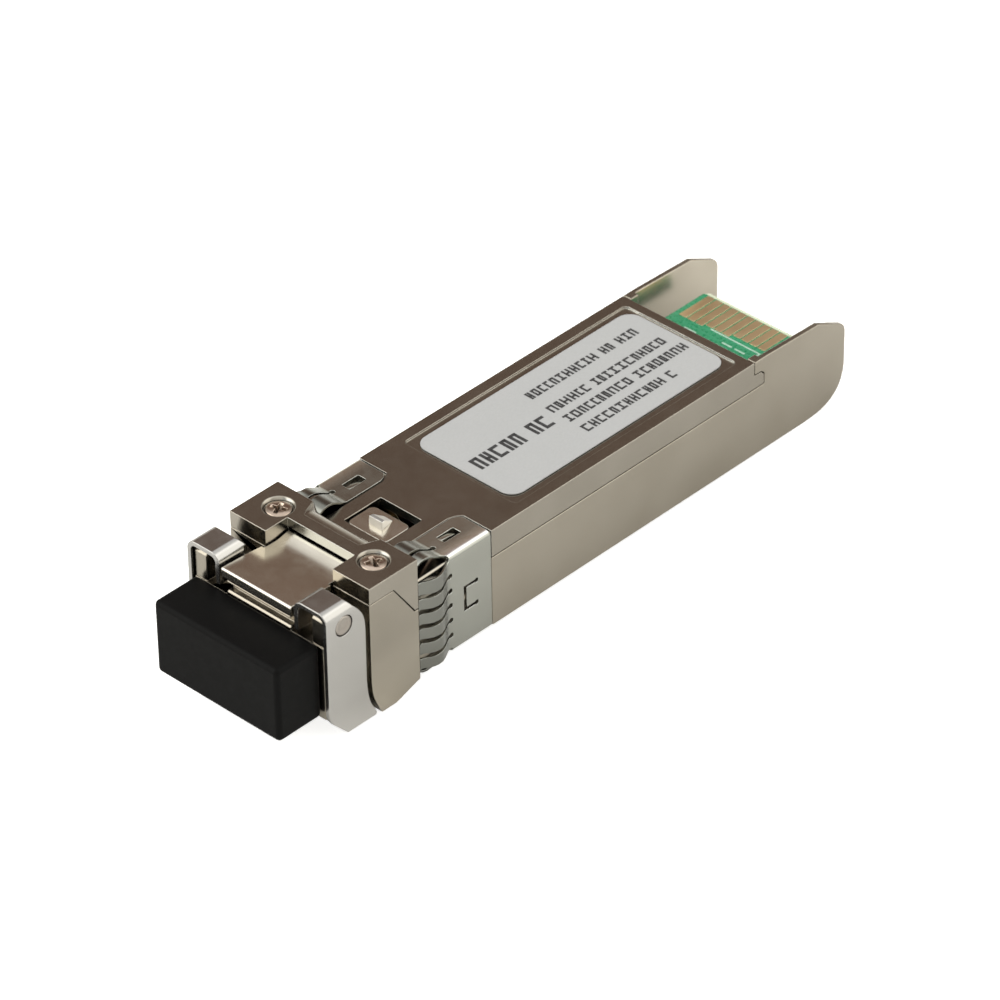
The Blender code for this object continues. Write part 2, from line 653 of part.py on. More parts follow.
# straight runs: start x, z; end x, z; outward normal; number of fingers
COLLAR_RUNS = [
    ((COLLAR_FLAP, COLLAR_TOP), (CORNER_X, COLLAR_TOP), (0, 1), 2),
    ((COLLAR_SIDE, CORNER_TOP), (COLLAR_SIDE, CORNER_LOW), (1, 0), 6),
    ((CORNER_X, COLLAR_BOTTOM), (-CORNER_X, COLLAR_BOTTOM), (0, -1), 9),
    ((-COLLAR_SIDE, CORNER_LOW), (-COLLAR_SIDE, CORNER_TOP), (-1, 0), 6),
    ((-CORNER_X, COLLAR_TOP), (-COLLAR_FLAP, COLLAR_TOP), (0, 1), 2)]


def finger_cells(count, slit):
    """Column edges as fractions of a run, and whether each column between them is a slit."""
    finger = (1.0 - (count + 1) * slit) / count
    edges = [0.0]
    for _ in range(count):
        edges += [edges[-1] + slit, edges[-1] + slit + finger]
    return edges + [1.0], [True, False] * count + [True]


def collar_columns():
    """Points and normals around the collar, and whether each column between them is a slit."""
    points, normals, slits = [], [], []
    last = len(COLLAR_RUNS) - 1
    for k, (start, end, normal, count) in enumerate(COLLAR_RUNS):
        edges, kinds = finger_cells(count, SLIT / math.dist(start, end))
        # the free edge of a top flap carries a finger, not a slit
        if k == 0:
            edges, kinds = [0.0] + edges[2:], kinds[1:]
        elif k == last:
            edges, kinds = edges[:-2] + [1.0], kinds[:-1]
        for t in edges:
            points.append((start[0] + (end[0] - start[0]) * t,
                           start[1] + (end[1] - start[1]) * t))
            normals.append(normal)
        slits += kinds
        if k < last:
            # two points round the corner that follows, open like a slit
            for turn_x, turn_z in arc((0, 0), 1, 60 - 90 * k, 30 - 90 * k, 1):
                points.append((end[0] + COLLAR_CORNER * (turn_x - normal[0]),
                               end[1] + COLLAR_CORNER * (turn_z - normal[1])))
                normals.append((turn_x, turn_z))
            slits += [True] * 3
    return points, normals, slits


def finger_lift(y):
    """How far the sheet stands out at y."""
    t = max(0.0, (COLLAR_BAND - y) / (COLLAR_BAND - COLLAR_FRONT))
    return FINGER_BULGE * math.sin(math.pi * t ** 0.85) ** 1.3 if 0 < t < 1 else 0.0


def emi_collar():
    points, normals, slits = collar_columns()
    bm = bmesh.new()
    bmesh.ops.create_grid(bm, x_segments=len(points) - 1, y_segments=len(COLLAR_ROWS) - 1,
                          size=0.5)
    xs = sorted({round(v.co.x, 6) for v in bm.verts})
    ys = sorted({round(v.co.y, 6) for v in bm.verts})
    column = {v: xs.index(round(v.co.x, 6)) for v in bm.verts}
    row = {v: ys.index(round(v.co.y, 6)) for v in bm.verts}
    open_faces = [f for f in bm.faces if slits[min(column[v] for v in f.verts)]
                  and min(row[v] for v in f.verts) >= len(BAND_ROWS)]
    for v in bm.verts:
        i, j = column[v], row[v]
        (x, z), normal = points[i], normals[i]
        lift = finger_lift(COLLAR_ROWS[j])
        if i in (0, len(points) - 1) and j < len(FLAP_EDGE):
            x = math.copysign(FLAP_EDGE[j], x)
        v.co = place(x + normal[0] * lift, COLLAR_ROWS[j], z + normal[1] * lift)
    bmesh.ops.delete(bm, geom=open_faces, context="FACES")
    collar = part_object("emi_collar", new_mesh("emi_collar", bm))
    sheet = collar.modifiers.new("sheet", "SOLIDIFY")
    sheet.thickness = COLLAR_T * MM
    sheet.offset = 0.0
    finish(collar, spring_steel, housing_frame)


# ---------------------------------------------------------------- dust plug
PLUG_HALF = 6.26
PLUG_FRONT = -15.42
PLUG_LOW = 1.20
PLUG_HIGH = 7.62
STEM_HALF = 2.25
STEM_END = -3.60


def dust_plug():
    plug = as_part(box("plug_block", about(PLUG_HALF), (PLUG_FRONT, PLUG_REAR),
                       (PLUG_LOW, PLUG_HIGH)), "dust_plug")
    bevel(plug, "soft_edges", 0.45, 3).limit_method = "ANGLE"
    for side, sign in SIDES:
        x = sign * PORT_X
        stem = rounded(about(STEM_HALF, x), about(STEM_HALF, PORT_Z), 0.5)
        add(plug, plate("plug_stem_" + side, stem, "XZ", (-11.6, STEM_END)))
        cut(plug, rod("plug_bore_" + side, "Y", (x, 0, PORT_Z), 1.75, (-10.4, -3.0)))
    finish(plug, rubber, plug_axis)


# ---------------------------------------------------------------- label and circuit board
LABEL_HALF = 5.02
LABEL_Y = (10.00, 33.45)

PCB_HALF = 5.50
EDGE_HALF = 4.60         # the narrower card edge
EDGE_CHAMFER = 0.4
PCB_FRONT = 10.50
PCB_NECK = 33.60
PCB_REAR = 41.80
# right half of the board, as x, y points
PCB_HALF_LINE = [
    (PCB_HALF, PCB_FRONT), (PCB_HALF, PCB_NECK), (EDGE_HALF, PCB_NECK + 0.6),
    (EDGE_HALF, PCB_REAR - EDGE_CHAMFER), (EDGE_HALF - EDGE_CHAMFER, PCB_REAR)]


def label():
    outline = rounded(about(LABEL_HALF), LABEL_Y, 1.2, 6)
    sheet = plate("label_sheet", outline, "XY", (8.38, 8.48))
    finish(as_part(sheet, "label"), paper, housing_frame)


def main_pcb():
    outline = PCB_HALF_LINE + mirrored(PCB_HALF_LINE, -1)
    # the outline starts at the front left corner
    board = plate("board_outline", outline[-1:] + outline[:-1], "XY", (PCB_LOW, PCB_HIGH))
    finish(as_part(board, "main_pcb"), solder_mask, housing_frame)


# ---------------------------------------------------------------- optics
BORE_BOTTOM = -4.50
# fixed points of an optical subassembly, as radius, y, from the can's front to the bore
BARREL_PROFILE = [
    (2.05, 4.45), (2.05, 3.40), (1.50, 3.25), (1.50, -0.90), (2.00, -0.95), (2.00, -1.88),
    (1.48, -1.92), (1.48, -8.60), (1.34, -8.80), (1.12, -8.80), (1.05, -8.70),
    (1.05, BORE_BOTTOM), (0.0, BORE_BOTTOM)]
SLEEVE_PROFILE = [
    (0.63, -4.70), (1.00, -4.70), (1.00, -8.45), (0.95, -8.52), (0.68, -8.52), (0.63, -8.45),
    (0.63, -4.70)]
CAN_CHAMFER = 0.25
FLEX_BEND = 0.85
FLEX_T = 0.14


def subassembly(kind, sign, can_radius, can_end):
    """Barrel with its can, sleeve and flex; the flex rises behind the can and runs rearwards."""
    x = sign * PORT_X
    profile = [(0.0, can_end), (can_radius - CAN_CHAMFER, can_end),
               (can_radius, can_end - CAN_CHAMFER), (can_radius, 4.60)] + BARREL_PROFILE
    turned(kind + "_body", profile, x, PORT_Z, gold_steel, 40)
    turned(kind + "_sleeve", SLEEVE_PROFILE, x, PORT_Z, ceramic, 32)
    front = can_end + 0.20
    path = ([(front, 3.10), (front, 5.60)]
            + arc((front + FLEX_BEND, 5.60), FLEX_BEND, 180, 110, 5)
            + [(front + 1.1, 6.44), (13.2, 6.40)])
    flex = plate(kind + "_flex_sheet", ribbon(path, FLEX_T), "YZ", about(1.7, x))
    finish(as_part(flex, kind + "_flex"), flex_film, housing_frame)


def osa_clamp():
    clamp = as_part(box("clamp_plate", about(5.75), (-0.75, 0.15), (1.08, 5.90)), "osa_clamp")
    for side, sign in SIDES:
        x = sign * PORT_X
        cut(clamp, rod("clamp_seat_" + side, "Y", (x, 0, PORT_Z), 1.58, (-1.5, 1.0)))
        cut(clamp, box("clamp_mouth_" + side, about(1.55, x), (-1.6, 1.1), (PORT_Z, 7.0)))
    finish(clamp, nickel, housing_frame)


# ---------------------------------------------------------------- board components
SEAT = PCB_HIGH + BOARD_GAP
# name, x span, y span, z span, material, edge bevel
COMPONENTS = [
    ("laser_driver_ic", (-4.6, -0.6), (14.4, 18.4), (SEAT, 7.05), chip, 0.08),
    ("receiver_ic", (1.2, 4.2), (14.6, 17.6), (SEAT, 6.99), chip, 0.08),
    ("microcontroller_ic", (-2.5, 2.5), (21.0, 26.0), (SEAT, 7.09), chip, 0.08),
    ("thermal_pad", (-4.4, -0.8), (14.6, 18.2), (7.09, 7.66), gel, 0.10),
    ("power_inductor", (-4.8, -2.3), (28.4, 30.9), (SEAT, 7.39), chip, 0.15),
    ("bulk_capacitor", (1.8, 4.6), (28.6, 30.2), (SEAT, 7.29), tan_ceramic, 0.12),
    ("lower_memory_ic", (-2.0, 2.0), (23.0, 27.6), (4.35, PCB_LOW - BOARD_GAP), chip, 0.08),
    ("ferrite_bead", (-1.0, 0.6), (28.8, 29.6), (SEAT, 7.05), chip, 0.08),
]


def component(name, x, y, z, mat, edge):
    ob = as_part(box(name + "_block", x, y, z), name)
    bevel(ob, "edge", edge, 2)
    finish(ob, mat, housing_frame)


# ---------------------------------------------------------------- assembly
base_housing()
top_cover()
bail()
for side_name, side_sign in SIDES:
    cover_screw(side_name, side_sign)
    bail_pin(side_name, side_sign)
latch_lever()
latch_axle()
latch_spring()
emi_collar()
dust_plug()
label()
main_pcb()
subassembly("tosa", -1, can_radius=2.60, can_end=8.20)
subassembly("rosa", 1, can_radius=2.30, can_end=7.60)
osa_clamp()
for row in COMPONENTS:
    component(*row)
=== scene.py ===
"""Looks of the pluggable optical transceiver: fine-edged metal, rubber, board and label.

X runs across (left is -X), Y along the module (the ports and dust plug at -Y are the front, the
board's contact edge at +Y is the rear) and Z up. Sizes are millimetres from the module's datum;
place() turns them into metres in the row frame, whose origin lies ORIGIN_Y behind the datum.
"""

import math
import random
from contextlib import contextmanager

import bmesh
import bpy
from mathutils import Matrix, Vector


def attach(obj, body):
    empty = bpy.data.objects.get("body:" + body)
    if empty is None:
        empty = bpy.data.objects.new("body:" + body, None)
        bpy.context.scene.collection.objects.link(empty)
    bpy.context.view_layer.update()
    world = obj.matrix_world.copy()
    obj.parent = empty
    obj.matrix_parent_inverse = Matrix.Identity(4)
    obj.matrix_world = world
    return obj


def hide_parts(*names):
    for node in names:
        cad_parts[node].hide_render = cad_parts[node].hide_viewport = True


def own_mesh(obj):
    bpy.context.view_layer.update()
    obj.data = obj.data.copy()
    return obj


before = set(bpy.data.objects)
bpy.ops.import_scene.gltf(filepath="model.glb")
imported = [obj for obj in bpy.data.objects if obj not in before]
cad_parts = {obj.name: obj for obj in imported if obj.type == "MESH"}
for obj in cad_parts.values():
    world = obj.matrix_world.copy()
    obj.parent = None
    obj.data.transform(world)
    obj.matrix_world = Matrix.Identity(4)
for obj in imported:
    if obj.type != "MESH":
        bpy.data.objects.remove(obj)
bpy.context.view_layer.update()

MM = 0.001
ORIGIN_Y = 20.0
work = bpy.data.collections.new("work")
bpy.context.scene.collection.children.link(work)

# ================================================================ shared dimensions
BODY = 6.70                             # half width of the body
TOP, REAR = 8.50, 45.0                  # top of the body, its rear end
SEAM, GAP = 6.10, 0.04                  # parting height of base and cover, half the gap there
BLOCK = 7.04                            # half width of the front block and of the bail
BLOCK_FRONT, BLOCK_REAR = -6.84, -1.93
BRIDGE_TOP = 10.49                      # top of the cover's raised front
GROOVE_Y = (-1.92, 6.00)                # the collar's groove along the body
PORT_X, PORT_Z = 3.125, 4.5
SCREW_X, SCREW_Y = 4.79, -4.10
PIN_Y, PIN_Z = -9.40, 8.75              # the bail's pivot
AXLE_Y, AXLE_Z, AXLE_HOLE = -3.35, 8.35, 0.48
BOARD_Z = (5.25, 6.25)
SIDES = (("left", -1), ("right", 1))


# ================================================================ modelling helpers
def place(x, y, z):
    """Millimetres from the module's datum to metres in the row frame."""
    return Vector((x * MM, (y - ORIGIN_Y) * MM, z * MM))


def side_span(sign, near, far):
    """An x range on one side of the middle."""
    return sorted((sign * near, sign * far))


def mirrored(points, sign):
    """An outline on the right, or flipped to the left with its winding kept."""
    return [(sign * a, b) for a, b in points][::sign]


def keep(name, mesh, matrix=None):
    part = bpy.data.objects.new(name, mesh)
    if matrix is not None:
        part.matrix_world = matrix
    work.objects.link(part)
    return part


def to_mesh(name, shape):
    mesh = bpy.data.meshes.new(name)
    shape.to_mesh(mesh)
    shape.free()
    return mesh


@contextmanager
def editing(mesh):
    shape = bmesh.new()
    shape.from_mesh(mesh)
    yield shape
    shape.to_mesh(mesh)
    shape.free()


def box(name, x, y, z):
    """A box from its x, y and z ranges."""
    shape = bmesh.new()
    bmesh.ops.create_cube(shape, size=1.0)
    low, high = place(x[0], y[0], z[0]), place(x[1], y[1], z[1])
    size = high - low
    for vert in shape.verts:
        scaled = Vector((vert.co.x * size.x, vert.co.y * size.y, vert.co.z * size.z))
        vert.co = scaled + (low + high) / 2
    return keep(name, to_mesh(name, shape))


def blocks(name, ranges):
    """Many boxes in one mesh, each from its x, y and z ranges."""
    shape = bmesh.new()
    for x, y, z in ranges:
        verts = bmesh.ops.create_cube(shape, size=1.0)["verts"]
        ends = place(x[0], y[0], z[0]), place(x[1], y[1], z[1])
        for vert in verts:
            vert.co = Vector([ends[vert.co[i] > 0][i] for i in range(3)])
    return keep(name, to_mesh(name, shape))


AXIS_TURN = {
    "X": Matrix.Rotation(math.pi / 2, 4, "Y"),
    "Y": Matrix.Rotation(-math.pi / 2, 4, "X"),
    "Z": Matrix.Identity(4),
}


def rod(name, axis, centre, radius, span, segments=48, end_radius=None):
    """A cylinder or cone along an axis; the centre's value on that axis is ignored."""
    shape = bmesh.new()
    bmesh.ops.create_cone(shape, cap_ends=True, cap_tris=False, segments=segments,
                          radius1=radius * MM,
                          radius2=(radius if end_radius is None else end_radius) * MM,
                          depth=(span[1] - span[0]) * MM)
    bmesh.ops.transform(shape, matrix=AXIS_TURN[axis], verts=shape.verts)
    middle = list(centre)
    middle["XYZ".index(axis)] = (span[0] + span[1]) / 2
    bmesh.ops.translate(shape, vec=place(*middle), verts=shape.verts)
    return keep(name, to_mesh(name, shape))


# each plane's normal axis, and the turn from the flat curve to that plane
PLANES = {
    "YZ": (0, Matrix(((0, 0, 1, 0), (1, 0, 0, 0), (0, 1, 0, 0), (0, 0, 0, 1)))),
    "XZ": (1, Matrix(((1, 0, 0, 0), (0, 0, -1, 0), (0, 1, 0, 0), (0, 0, 0, 1)))),
    "XY": (2, Matrix.Identity(4)),
}


def flat_mesh(name, outline, half):
    """A closed flat outline, filled and extruded by half either way."""
    curve = bpy.data.curves.new(name, "CURVE")
    curve.dimensions = "2D"
    curve.fill_mode = "BOTH"
    curve.extrude = half * MM
    spline = curve.splines.new("POLY")
    spline.points.add(len(outline) - 1)
    for point, (a, b) in zip(spline.points, outline):
        point.co = (a * MM, b * MM, 0.0, 1.0)
    spline.use_cyclic_u = True
    holder = keep(name + "_outline", curve)
    bpy.context.view_layer.update()
    graph = bpy.context.evaluated_depsgraph_get()
    mesh = bpy.data.meshes.new_from_object(holder.evaluated_get(graph))
    with editing(mesh) as shape:
        bmesh.ops.remove_doubles(shape, verts=shape.verts, dist=5e-7)
        bmesh.ops.dissolve_limit(shape, angle_limit=math.radians(0.3),
                                 verts=shape.verts, edges=shape.edges)
        bmesh.ops.recalc_face_normals(shape, faces=shape.faces)
    mesh.name = name
    bpy.data.objects.remove(holder, do_unlink=True)
    return mesh


def plate(name, outline, plane, span):
    """An outline in a plane, extruded over a span of the plane's normal axis."""
    mesh = flat_mesh(name, outline, (span[1] - span[0]) / 2)
    normal, turn = PLANES[plane]
    middle = [0, 0, 0]
    middle[normal] = (span[0] + span[1]) / 2
    return keep(name, mesh, Matrix.Translation(place(*middle)) @ turn)


def revolved(name, profile, matrix):
    """A profile of (radius, height) spun round its own Z."""
    shape = bmesh.new()
    verts = [shape.verts.new((radius * MM, 0.0, z * MM)) for radius, z in profile]
    for one, two in zip(verts, verts[1:]):
        shape.edges.new((one, two))
    part = keep(name, to_mesh(name, shape), matrix)
    spin = part.modifiers.new("turn", "SCREW")
    spin.axis = "Z"
    spin.steps = spin.render_steps = 48
    spin.use_merge_vertices = True
    spin.merge_threshold = 1e-6
    spin.use_normal_calculate = True
    return applied(part)


def boolean(part, tool, operation, use_self=False):
    mod = part.modifiers.new(tool.name, "BOOLEAN")
    mod.operation = operation
    mod.solver = "EXACT"
    mod.object = tool
    mod.use_self = use_self


def cut(part, tool):
    boolean(part, tool, "DIFFERENCE")


def add(part, tool):
    boolean(part, tool, "UNION")


def applied(part):
    """Bakes the modifiers into the mesh, in the row frame, and throws the tools away."""
    bpy.context.view_layer.update()
    tools = {m.object for m in part.modifiers if m.type == "BOOLEAN"}
    graph = bpy.context.evaluated_depsgraph_get()
    mesh = bpy.data.meshes.new_from_object(part.evaluated_get(graph))
    mesh.transform(part.matrix_world)
    part.modifiers.clear()
    part.data = mesh
    part.matrix_world = Matrix.Identity(4)
    for tool in tools:
        bpy.data.objects.remove(tool, do_unlink=True)
    return part


def tidy(part, angle=0.4):
    """Merges what the booleans left doubled and dissolves edges flatter than the angle."""
    merge = 1.5e-6
    with editing(part.data) as shape:
        bmesh.ops.remove_doubles(shape, verts=shape.verts, dist=merge)
        bmesh.ops.dissolve_degenerate(shape, edges=shape.edges, dist=merge)
        bmesh.ops.dissolve_limit(shape, angle_limit=math.radians(angle),
                                 verts=shape.verts, edges=shape.edges)
        bmesh.ops.recalc_face_normals(shape, faces=shape.faces)


def soften(part, width=0.07, segments=2, angle=32, profile=0.6):
    """Rounds the edges sharper than the angle a little."""
    bevel = part.modifiers.new("edge", "BEVEL")
    bevel.width = width * MM
    bevel.segments = segments
    bevel.limit_method = "ANGLE"
    bevel.angle_limit = math.radians(angle)
    bevel.use_clamp_overlap = False
    bevel.profile = profile
    bevel.miter_outer = "MITER_ARC"


def smooth(part):
    for polygon in part.data.polygons:
        polygon.use_smooth = True


def shade(part):
    """Smooth shading that leaves the flats flat to the light; bakes all modifiers."""
    smooth(part)
    normals = part.modifiers.new("normals", "WEIGHTED_NORMAL")
    normals.mode = "FACE_AREA_WITH_ANGLE"
    normals.weight = 60
    normals.keep_sharp = True
    applied(part)


def shade_by_angle(part, degrees):
    smooth(part)
    part.data.set_sharp_from_angle(angle=math.radians(degrees))


def arc(centre, radius, start, end, steps):
    out = []
    for i in range(steps + 1):
        angle = math.radians(start + (end - start) * i / steps)
        out.append((centre[0] + radius * math.cos(angle), centre[1] + radius * math.sin(angle)))
    return out


def rounded(x, y, radius, steps=6):
    """A rectangle's outline with round corners."""
    (x0, x1), (y0, y1) = x, y
    return (arc((x1 - radius, y0 + radius), radius, -90, 0, steps)
            + arc((x1 - radius, y1 - radius), radius, 0, 90, steps)
            + arc((x0 + radius, y1 - radius), radius, 90, 180, steps)
            + arc((x0 + radius, y0 + radius), radius, 180, 270, steps))


def smooth_line(points, per=4):
    """A Catmull-Rom line through a run of points, with so many steps per stretch."""
    out = []
    for i in range(len(points) - 1):
        run = (points[max(i - 1, 0)], points[i], points[i + 1],
               points[min(i + 2, len(points) - 1)])
        for k in range(per):
            t = k / per
            out.append(tuple(0.5 * (2 * b + (c - a) * t + (2 * a - 5 * b + 4 * c - d) * t * t
                                    + (3 * b - a - 3 * c + d) * t ** 3)
                             for a, b, c, d in zip(*run)))
    out.append(points[-1])
    return out


def ribbon(path, thickness):
    """The outline of a strip of even thickness along a path."""
    path = [p for i, p in enumerate(path) if i == 0 or math.dist(p, path[i - 1]) > 1e-4]
    path = [Vector(p) for p in path]
    left, right = [], []
    for i, point in enumerate(path):
        before, after = path[max(i - 1, 0)], path[min(i + 1, len(path) - 1)]
        inward = (point - before).normalized() if i else (after - point).normalized()
        outward = (after - point).normalized() if i < len(path) - 1 else inward
        along = (inward + outward).normalized()
        normal = Vector((-along.y, along.x))
        half = thickness / 2 / max(0.2, normal.dot(Vector((-inward.y, inward.x))))
        left.append(tuple(point + normal * half))
        right.append(tuple(point - normal * half))
    return left + right[::-1]


def piece(part, name, mat, body, *nodes):
    """Hands a finished part over: its name, material, carrying body and the nodes it replaces."""
    part.name = name
    part.data.name = name
    part.data.materials.clear()
    part.data.materials.append(mat)
    for polygon in part.data.polygons:
        polygon.material_index = 0
    work.objects.unlink(part)
    bpy.context.scene.collection.objects.link(part)
    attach(part, body)
    if nodes:
        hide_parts(*nodes)


# ================================================================ node trees
class Graph:
    """A small writer of node trees."""

    def __init__(self, tree):
        self.tree = tree
        self.x = 0

    def node(self, kind, **values):
        node = self.tree.nodes.new(kind)
        self.x += 40
        node.location = (self.x, 0)
        for key, value in values.items():
            setattr(node, key, value)
        return node

    def put(self, socket, value):
        """Links a socket, or sets a value."""
        if isinstance(value, bpy.types.NodeSocket):
            self.tree.links.new(value, socket)
        else:
            socket.default_value = value

    def feed(self, node, values):
        for key, value in values.items():
            self.put(node.inputs[key], value)

    def math(self, operation, a, b=0.0, clamp=False):
        node = self.node("ShaderNodeMath", operation=operation, use_clamp=clamp)
        self.feed(node, {0: a, 1: b})
        return node.outputs[0]

    def vmath(self, operation, a, b=None, scale=None):
        node = self.node("ShaderNodeVectorMath", operation=operation)
        self.put(node.inputs[0], a)
        if b is not None:
            self.put(node.inputs[1], b)
        if scale is not None:
            self.put(node.inputs["Scale"], scale)
        return node.outputs["Value" if operation == "DOT_PRODUCT" else "Vector"]

    def mm(self, stretch=(1, 1, 1)):
        """The object coordinates in millimetres."""
        coord = self.node("ShaderNodeTexCoord")
        return self.vmath("MULTIPLY", coord.outputs["Object"], tuple(1000.0 * s for s in stretch))

    def split(self, vector):
        node = self.node("ShaderNodeSeparateXYZ")
        self.put(node.inputs[0], vector)
        return node.outputs

    def noise(self, vector, scale, detail, rough=0.5, distort=0.0):
        node = self.node("ShaderNodeTexNoise")
        self.feed(node, {"Vector": vector, "Scale": scale, "Detail": detail,
                         "Roughness": rough, "Distortion": distort})
        return node.outputs["Fac"]

    def ramp(self, value, start, end, low=0.0, high=1.0):
        """A smooth step from low to high as the value goes from start to end."""
        node = self.node("ShaderNodeMapRange", interpolation_type="SMOOTHSTEP")
        self.feed(node, {"Value": value, "From Min": start, "From Max": end,
                         "To Min": low, "To Max": high})
        return node.outputs["Result"]

    def mix(self, factor, a, b):
        """A mix of two colours, each a socket or an RGB triple."""
        node = self.node("ShaderNodeMix", data_type="RGBA")
        self.put(node.inputs["Factor"], factor)
        for key, value in (("A", a), ("B", b)):
            if isinstance(value, tuple):
                value = (*value, 1.0)
            self.put(node.inputs[key], value)
        return node.outputs["Result"]

    def bump(self, height, depth, normal=None):
        """A bump of a depth in millimetres, over another normal if one is given."""
        node = self.node("ShaderNodeBump")
        self.feed(node, {"Height": height, "Strength": 1.0, "Distance": depth * MM})
        if normal is not None:
            self.put(node.inputs["Normal"], normal)
        return node.outputs["Normal"]


def fresh(name):
    mat = bpy.data.materials.new(name)
    mat.use_nodes = True
    return mat, Graph(mat.node_tree), mat.node_tree.nodes["Principled BSDF"]


# ================================================================ metals
# near-black colour of the painted shade in crevices
CREVICE_SHADE_COLOUR = (0.045, 0.038, 0.030)
# tint shift of the painted highlight on the cover's front faces
FRONT_FACE_HIGHLIGHT_SHIFT = (-0.02, 0.02, 0.055)    # added to the tint of the cover's front faces


def plated(name, base, dark, rough=0.24, rough_var=0.05, grain=7.0, grain_depth=0.00035,
           wave=0.0022, streak=(1.0, 1.0, 1.0), edge_wear_and_highlight=0.5, edge=0.06, crevice_shade=0.55, smudge=0.07,
           shading=None, front_face_highlight_gain=None, painted_light_zones=()):
    """Plated metal: fine grain, slow waviness, cloudy tone, rubbed edges with a painted highlight,
    painted shade in crevices.

    Depths and the edge radius are in mm. Each zone is painted light or shade: a brightness gain and
    its limits: a key x, y, z is a place in row-frame mm, nx, ny, nz a part of the normal; each goes
    from a value where the zone is off to one where it is full.
    """
    mat, net, surface = fresh(name)
    pos = net.mm()
    cloud = net.noise(pos, scale=0.16, detail=2.0, distort=0.2)
    fine = net.noise(net.mm(streak), scale=grain, detail=3.0, rough=0.55)
    slow = net.noise(pos, scale=0.20, detail=1.0, rough=0.4)
    tone = net.mix(net.ramp(cloud, start=0.30, end=0.70), dark, base)
    handled = net.noise(pos, scale=0.75, detail=4.0, rough=0.6, distort=0.8)
    tone = net.mix(net.ramp(handled, start=0.50, end=0.85, high=smudge),
                   tone, tuple(c * 0.72 for c in dark))

    # the bevelled normal parts from the true one at the edges, which are lightened: partly rubbed
    # wear, partly a painted highlight
    bevel = net.node("ShaderNodeBevel", samples=6)
    bevel.inputs["Radius"].default_value = edge * MM
    normal = net.node("ShaderNodeNewGeometry").outputs["Normal"]
    turn = net.math("SUBTRACT", 1.0, net.vmath("DOT_PRODUCT", bevel.outputs["Normal"], normal))
    patches = net.noise(pos, scale=2.2, detail=3.0, rough=0.6)
    edge_rub_and_highlight = net.math("MULTIPLY", net.ramp(turn, start=0.02, end=0.22),
                   net.ramp(patches, start=0.25, end=0.60, low=0.35), clamp=True)
    edge_highlight_tone = tuple(min(1.0, c * 1.5 + 0.08) for c in base)
    tone = net.mix(net.math("MULTIPLY", edge_rub_and_highlight, edge_wear_and_highlight), tone, edge_highlight_tone)
    # painted shade: an ambient-occlusion mask darkens crevices and recesses towards a near-black
    # colour
    if crevice_shade:
        crevice = net.node("ShaderNodeAmbientOcclusion", samples=6)
        crevice.inputs["Distance"].default_value = 0.45 * MM
        tone = net.mix(net.ramp(crevice.outputs["AO"], start=0.25, end=0.80, low=crevice_shade, high=0.0),
                       tone, CREVICE_SHADE_COLOUR)
    # painted light and shade from the given function
    if shading:
        tone = shading(net, pos, normal, tone)

    splits = {}

    def measure(key):
        of_normal = key[0] == "n"
        if of_normal not in splits:
            splits[of_normal] = net.split(normal if of_normal else pos)
        return splits[of_normal][key[-1].upper()]

    # painted light and shade: each zone scales the colour by its gain where its mask is on
    for gain, limits in painted_light_zones:
        mask = None
        for key, (off, full) in limits.items():
            if off < full:
                part = net.ramp(measure(key), start=off, end=full)
            else:
                part = net.ramp(measure(key), start=full, end=off, low=1.0, high=0.0)
            mask = part if mask is None else net.math("MULTIPLY", mask, part)
        lift = net.math("MULTIPLY", mask, gain - 1.0)
        tone = net.vmath("SCALE", tone, scale=net.math("ADD", 1.0, lift))
    if front_face_highlight_gain:
        # painted highlight on front-facing surfaces, from the front block backwards
        bar = net.math("MULTIPLY", net.ramp(measure("ny"), start=-0.9, end=-0.6, low=1.0, high=0.0),
                       net.ramp(measure("y"), start=-25.6, end=-25.0))
        tone = net.mix(bar, tone, tuple(c * front_face_highlight_gain + d for c, d in zip(base, FRONT_FACE_HIGHLIGHT_SHIFT)))

    spread = net.math("MULTIPLY", net.ramp(handled, start=0.30, end=0.75), rough_var)
    roughness = net.math("ADD", rough - rough_var / 2, spread)
    waved = net.bump(slow, depth=wave, normal=bevel.outputs["Normal"])
    net.feed(surface, {
        "Metallic": 1.0,
        "Base Color": tone,
        "Roughness": net.math("ADD", roughness, net.math("MULTIPLY", edge_rub_and_highlight, 0.04)),
        "Normal": net.bump(fine, depth=grain_depth, normal=waved),
    })
    return mat


def collar_painted_light(net, pos, normal, tone):
    """Painted light and shade: brightens the top, dims the front and lifts the front's top corners
    again.
    """
    facing = net.split(normal)
    tone = net.vmath("SCALE", tone, scale=net.ramp(facing["Z"], start=0.3, end=0.9,
                                                   low=1.0, high=1.70))
    along = net.split(pos)
    tone = net.vmath("SCALE", tone, scale=net.ramp(along["Y"], start=-19.2, end=-18.3, low=0.60))
    corner_highlight = net.ramp(net.math("ABSOLUTE", along["X"]), start=5.2, end=6.5)
    lift = net.math("MULTIPLY", corner_highlight, net.ramp(facing["Z"], start=0.7, end=0.95, high=0.95))
    return net.vmath("SCALE", tone, scale=net.math("ADD", 1.0, lift))


# painted light: the left rear wing's inner face is lit up, the front block's right side is lighter
# low down and darker high up
nickel = plated(
    "nickel_cast", base=(0.355, 0.325, 0.273), dark=(0.322, 0.293, 0.243),
    rough=0.26, rough_var=0.02, edge_wear_and_highlight=0.60, smudge=0.04,
    painted_light_zones=((1.42, {"nx": (0.5, 0.8), "x": (0.5, -0.5), "y": (15.6, 16.2)}),
           (1.22, {"nx": (0.5, 0.8), "y": (-21.9, -22.1), "z": (4.5, 0.0)}),
           (0.88, {"nx": (0.5, 0.8), "y": (-21.9, -22.1), "z": (3.0, 5.5)})))
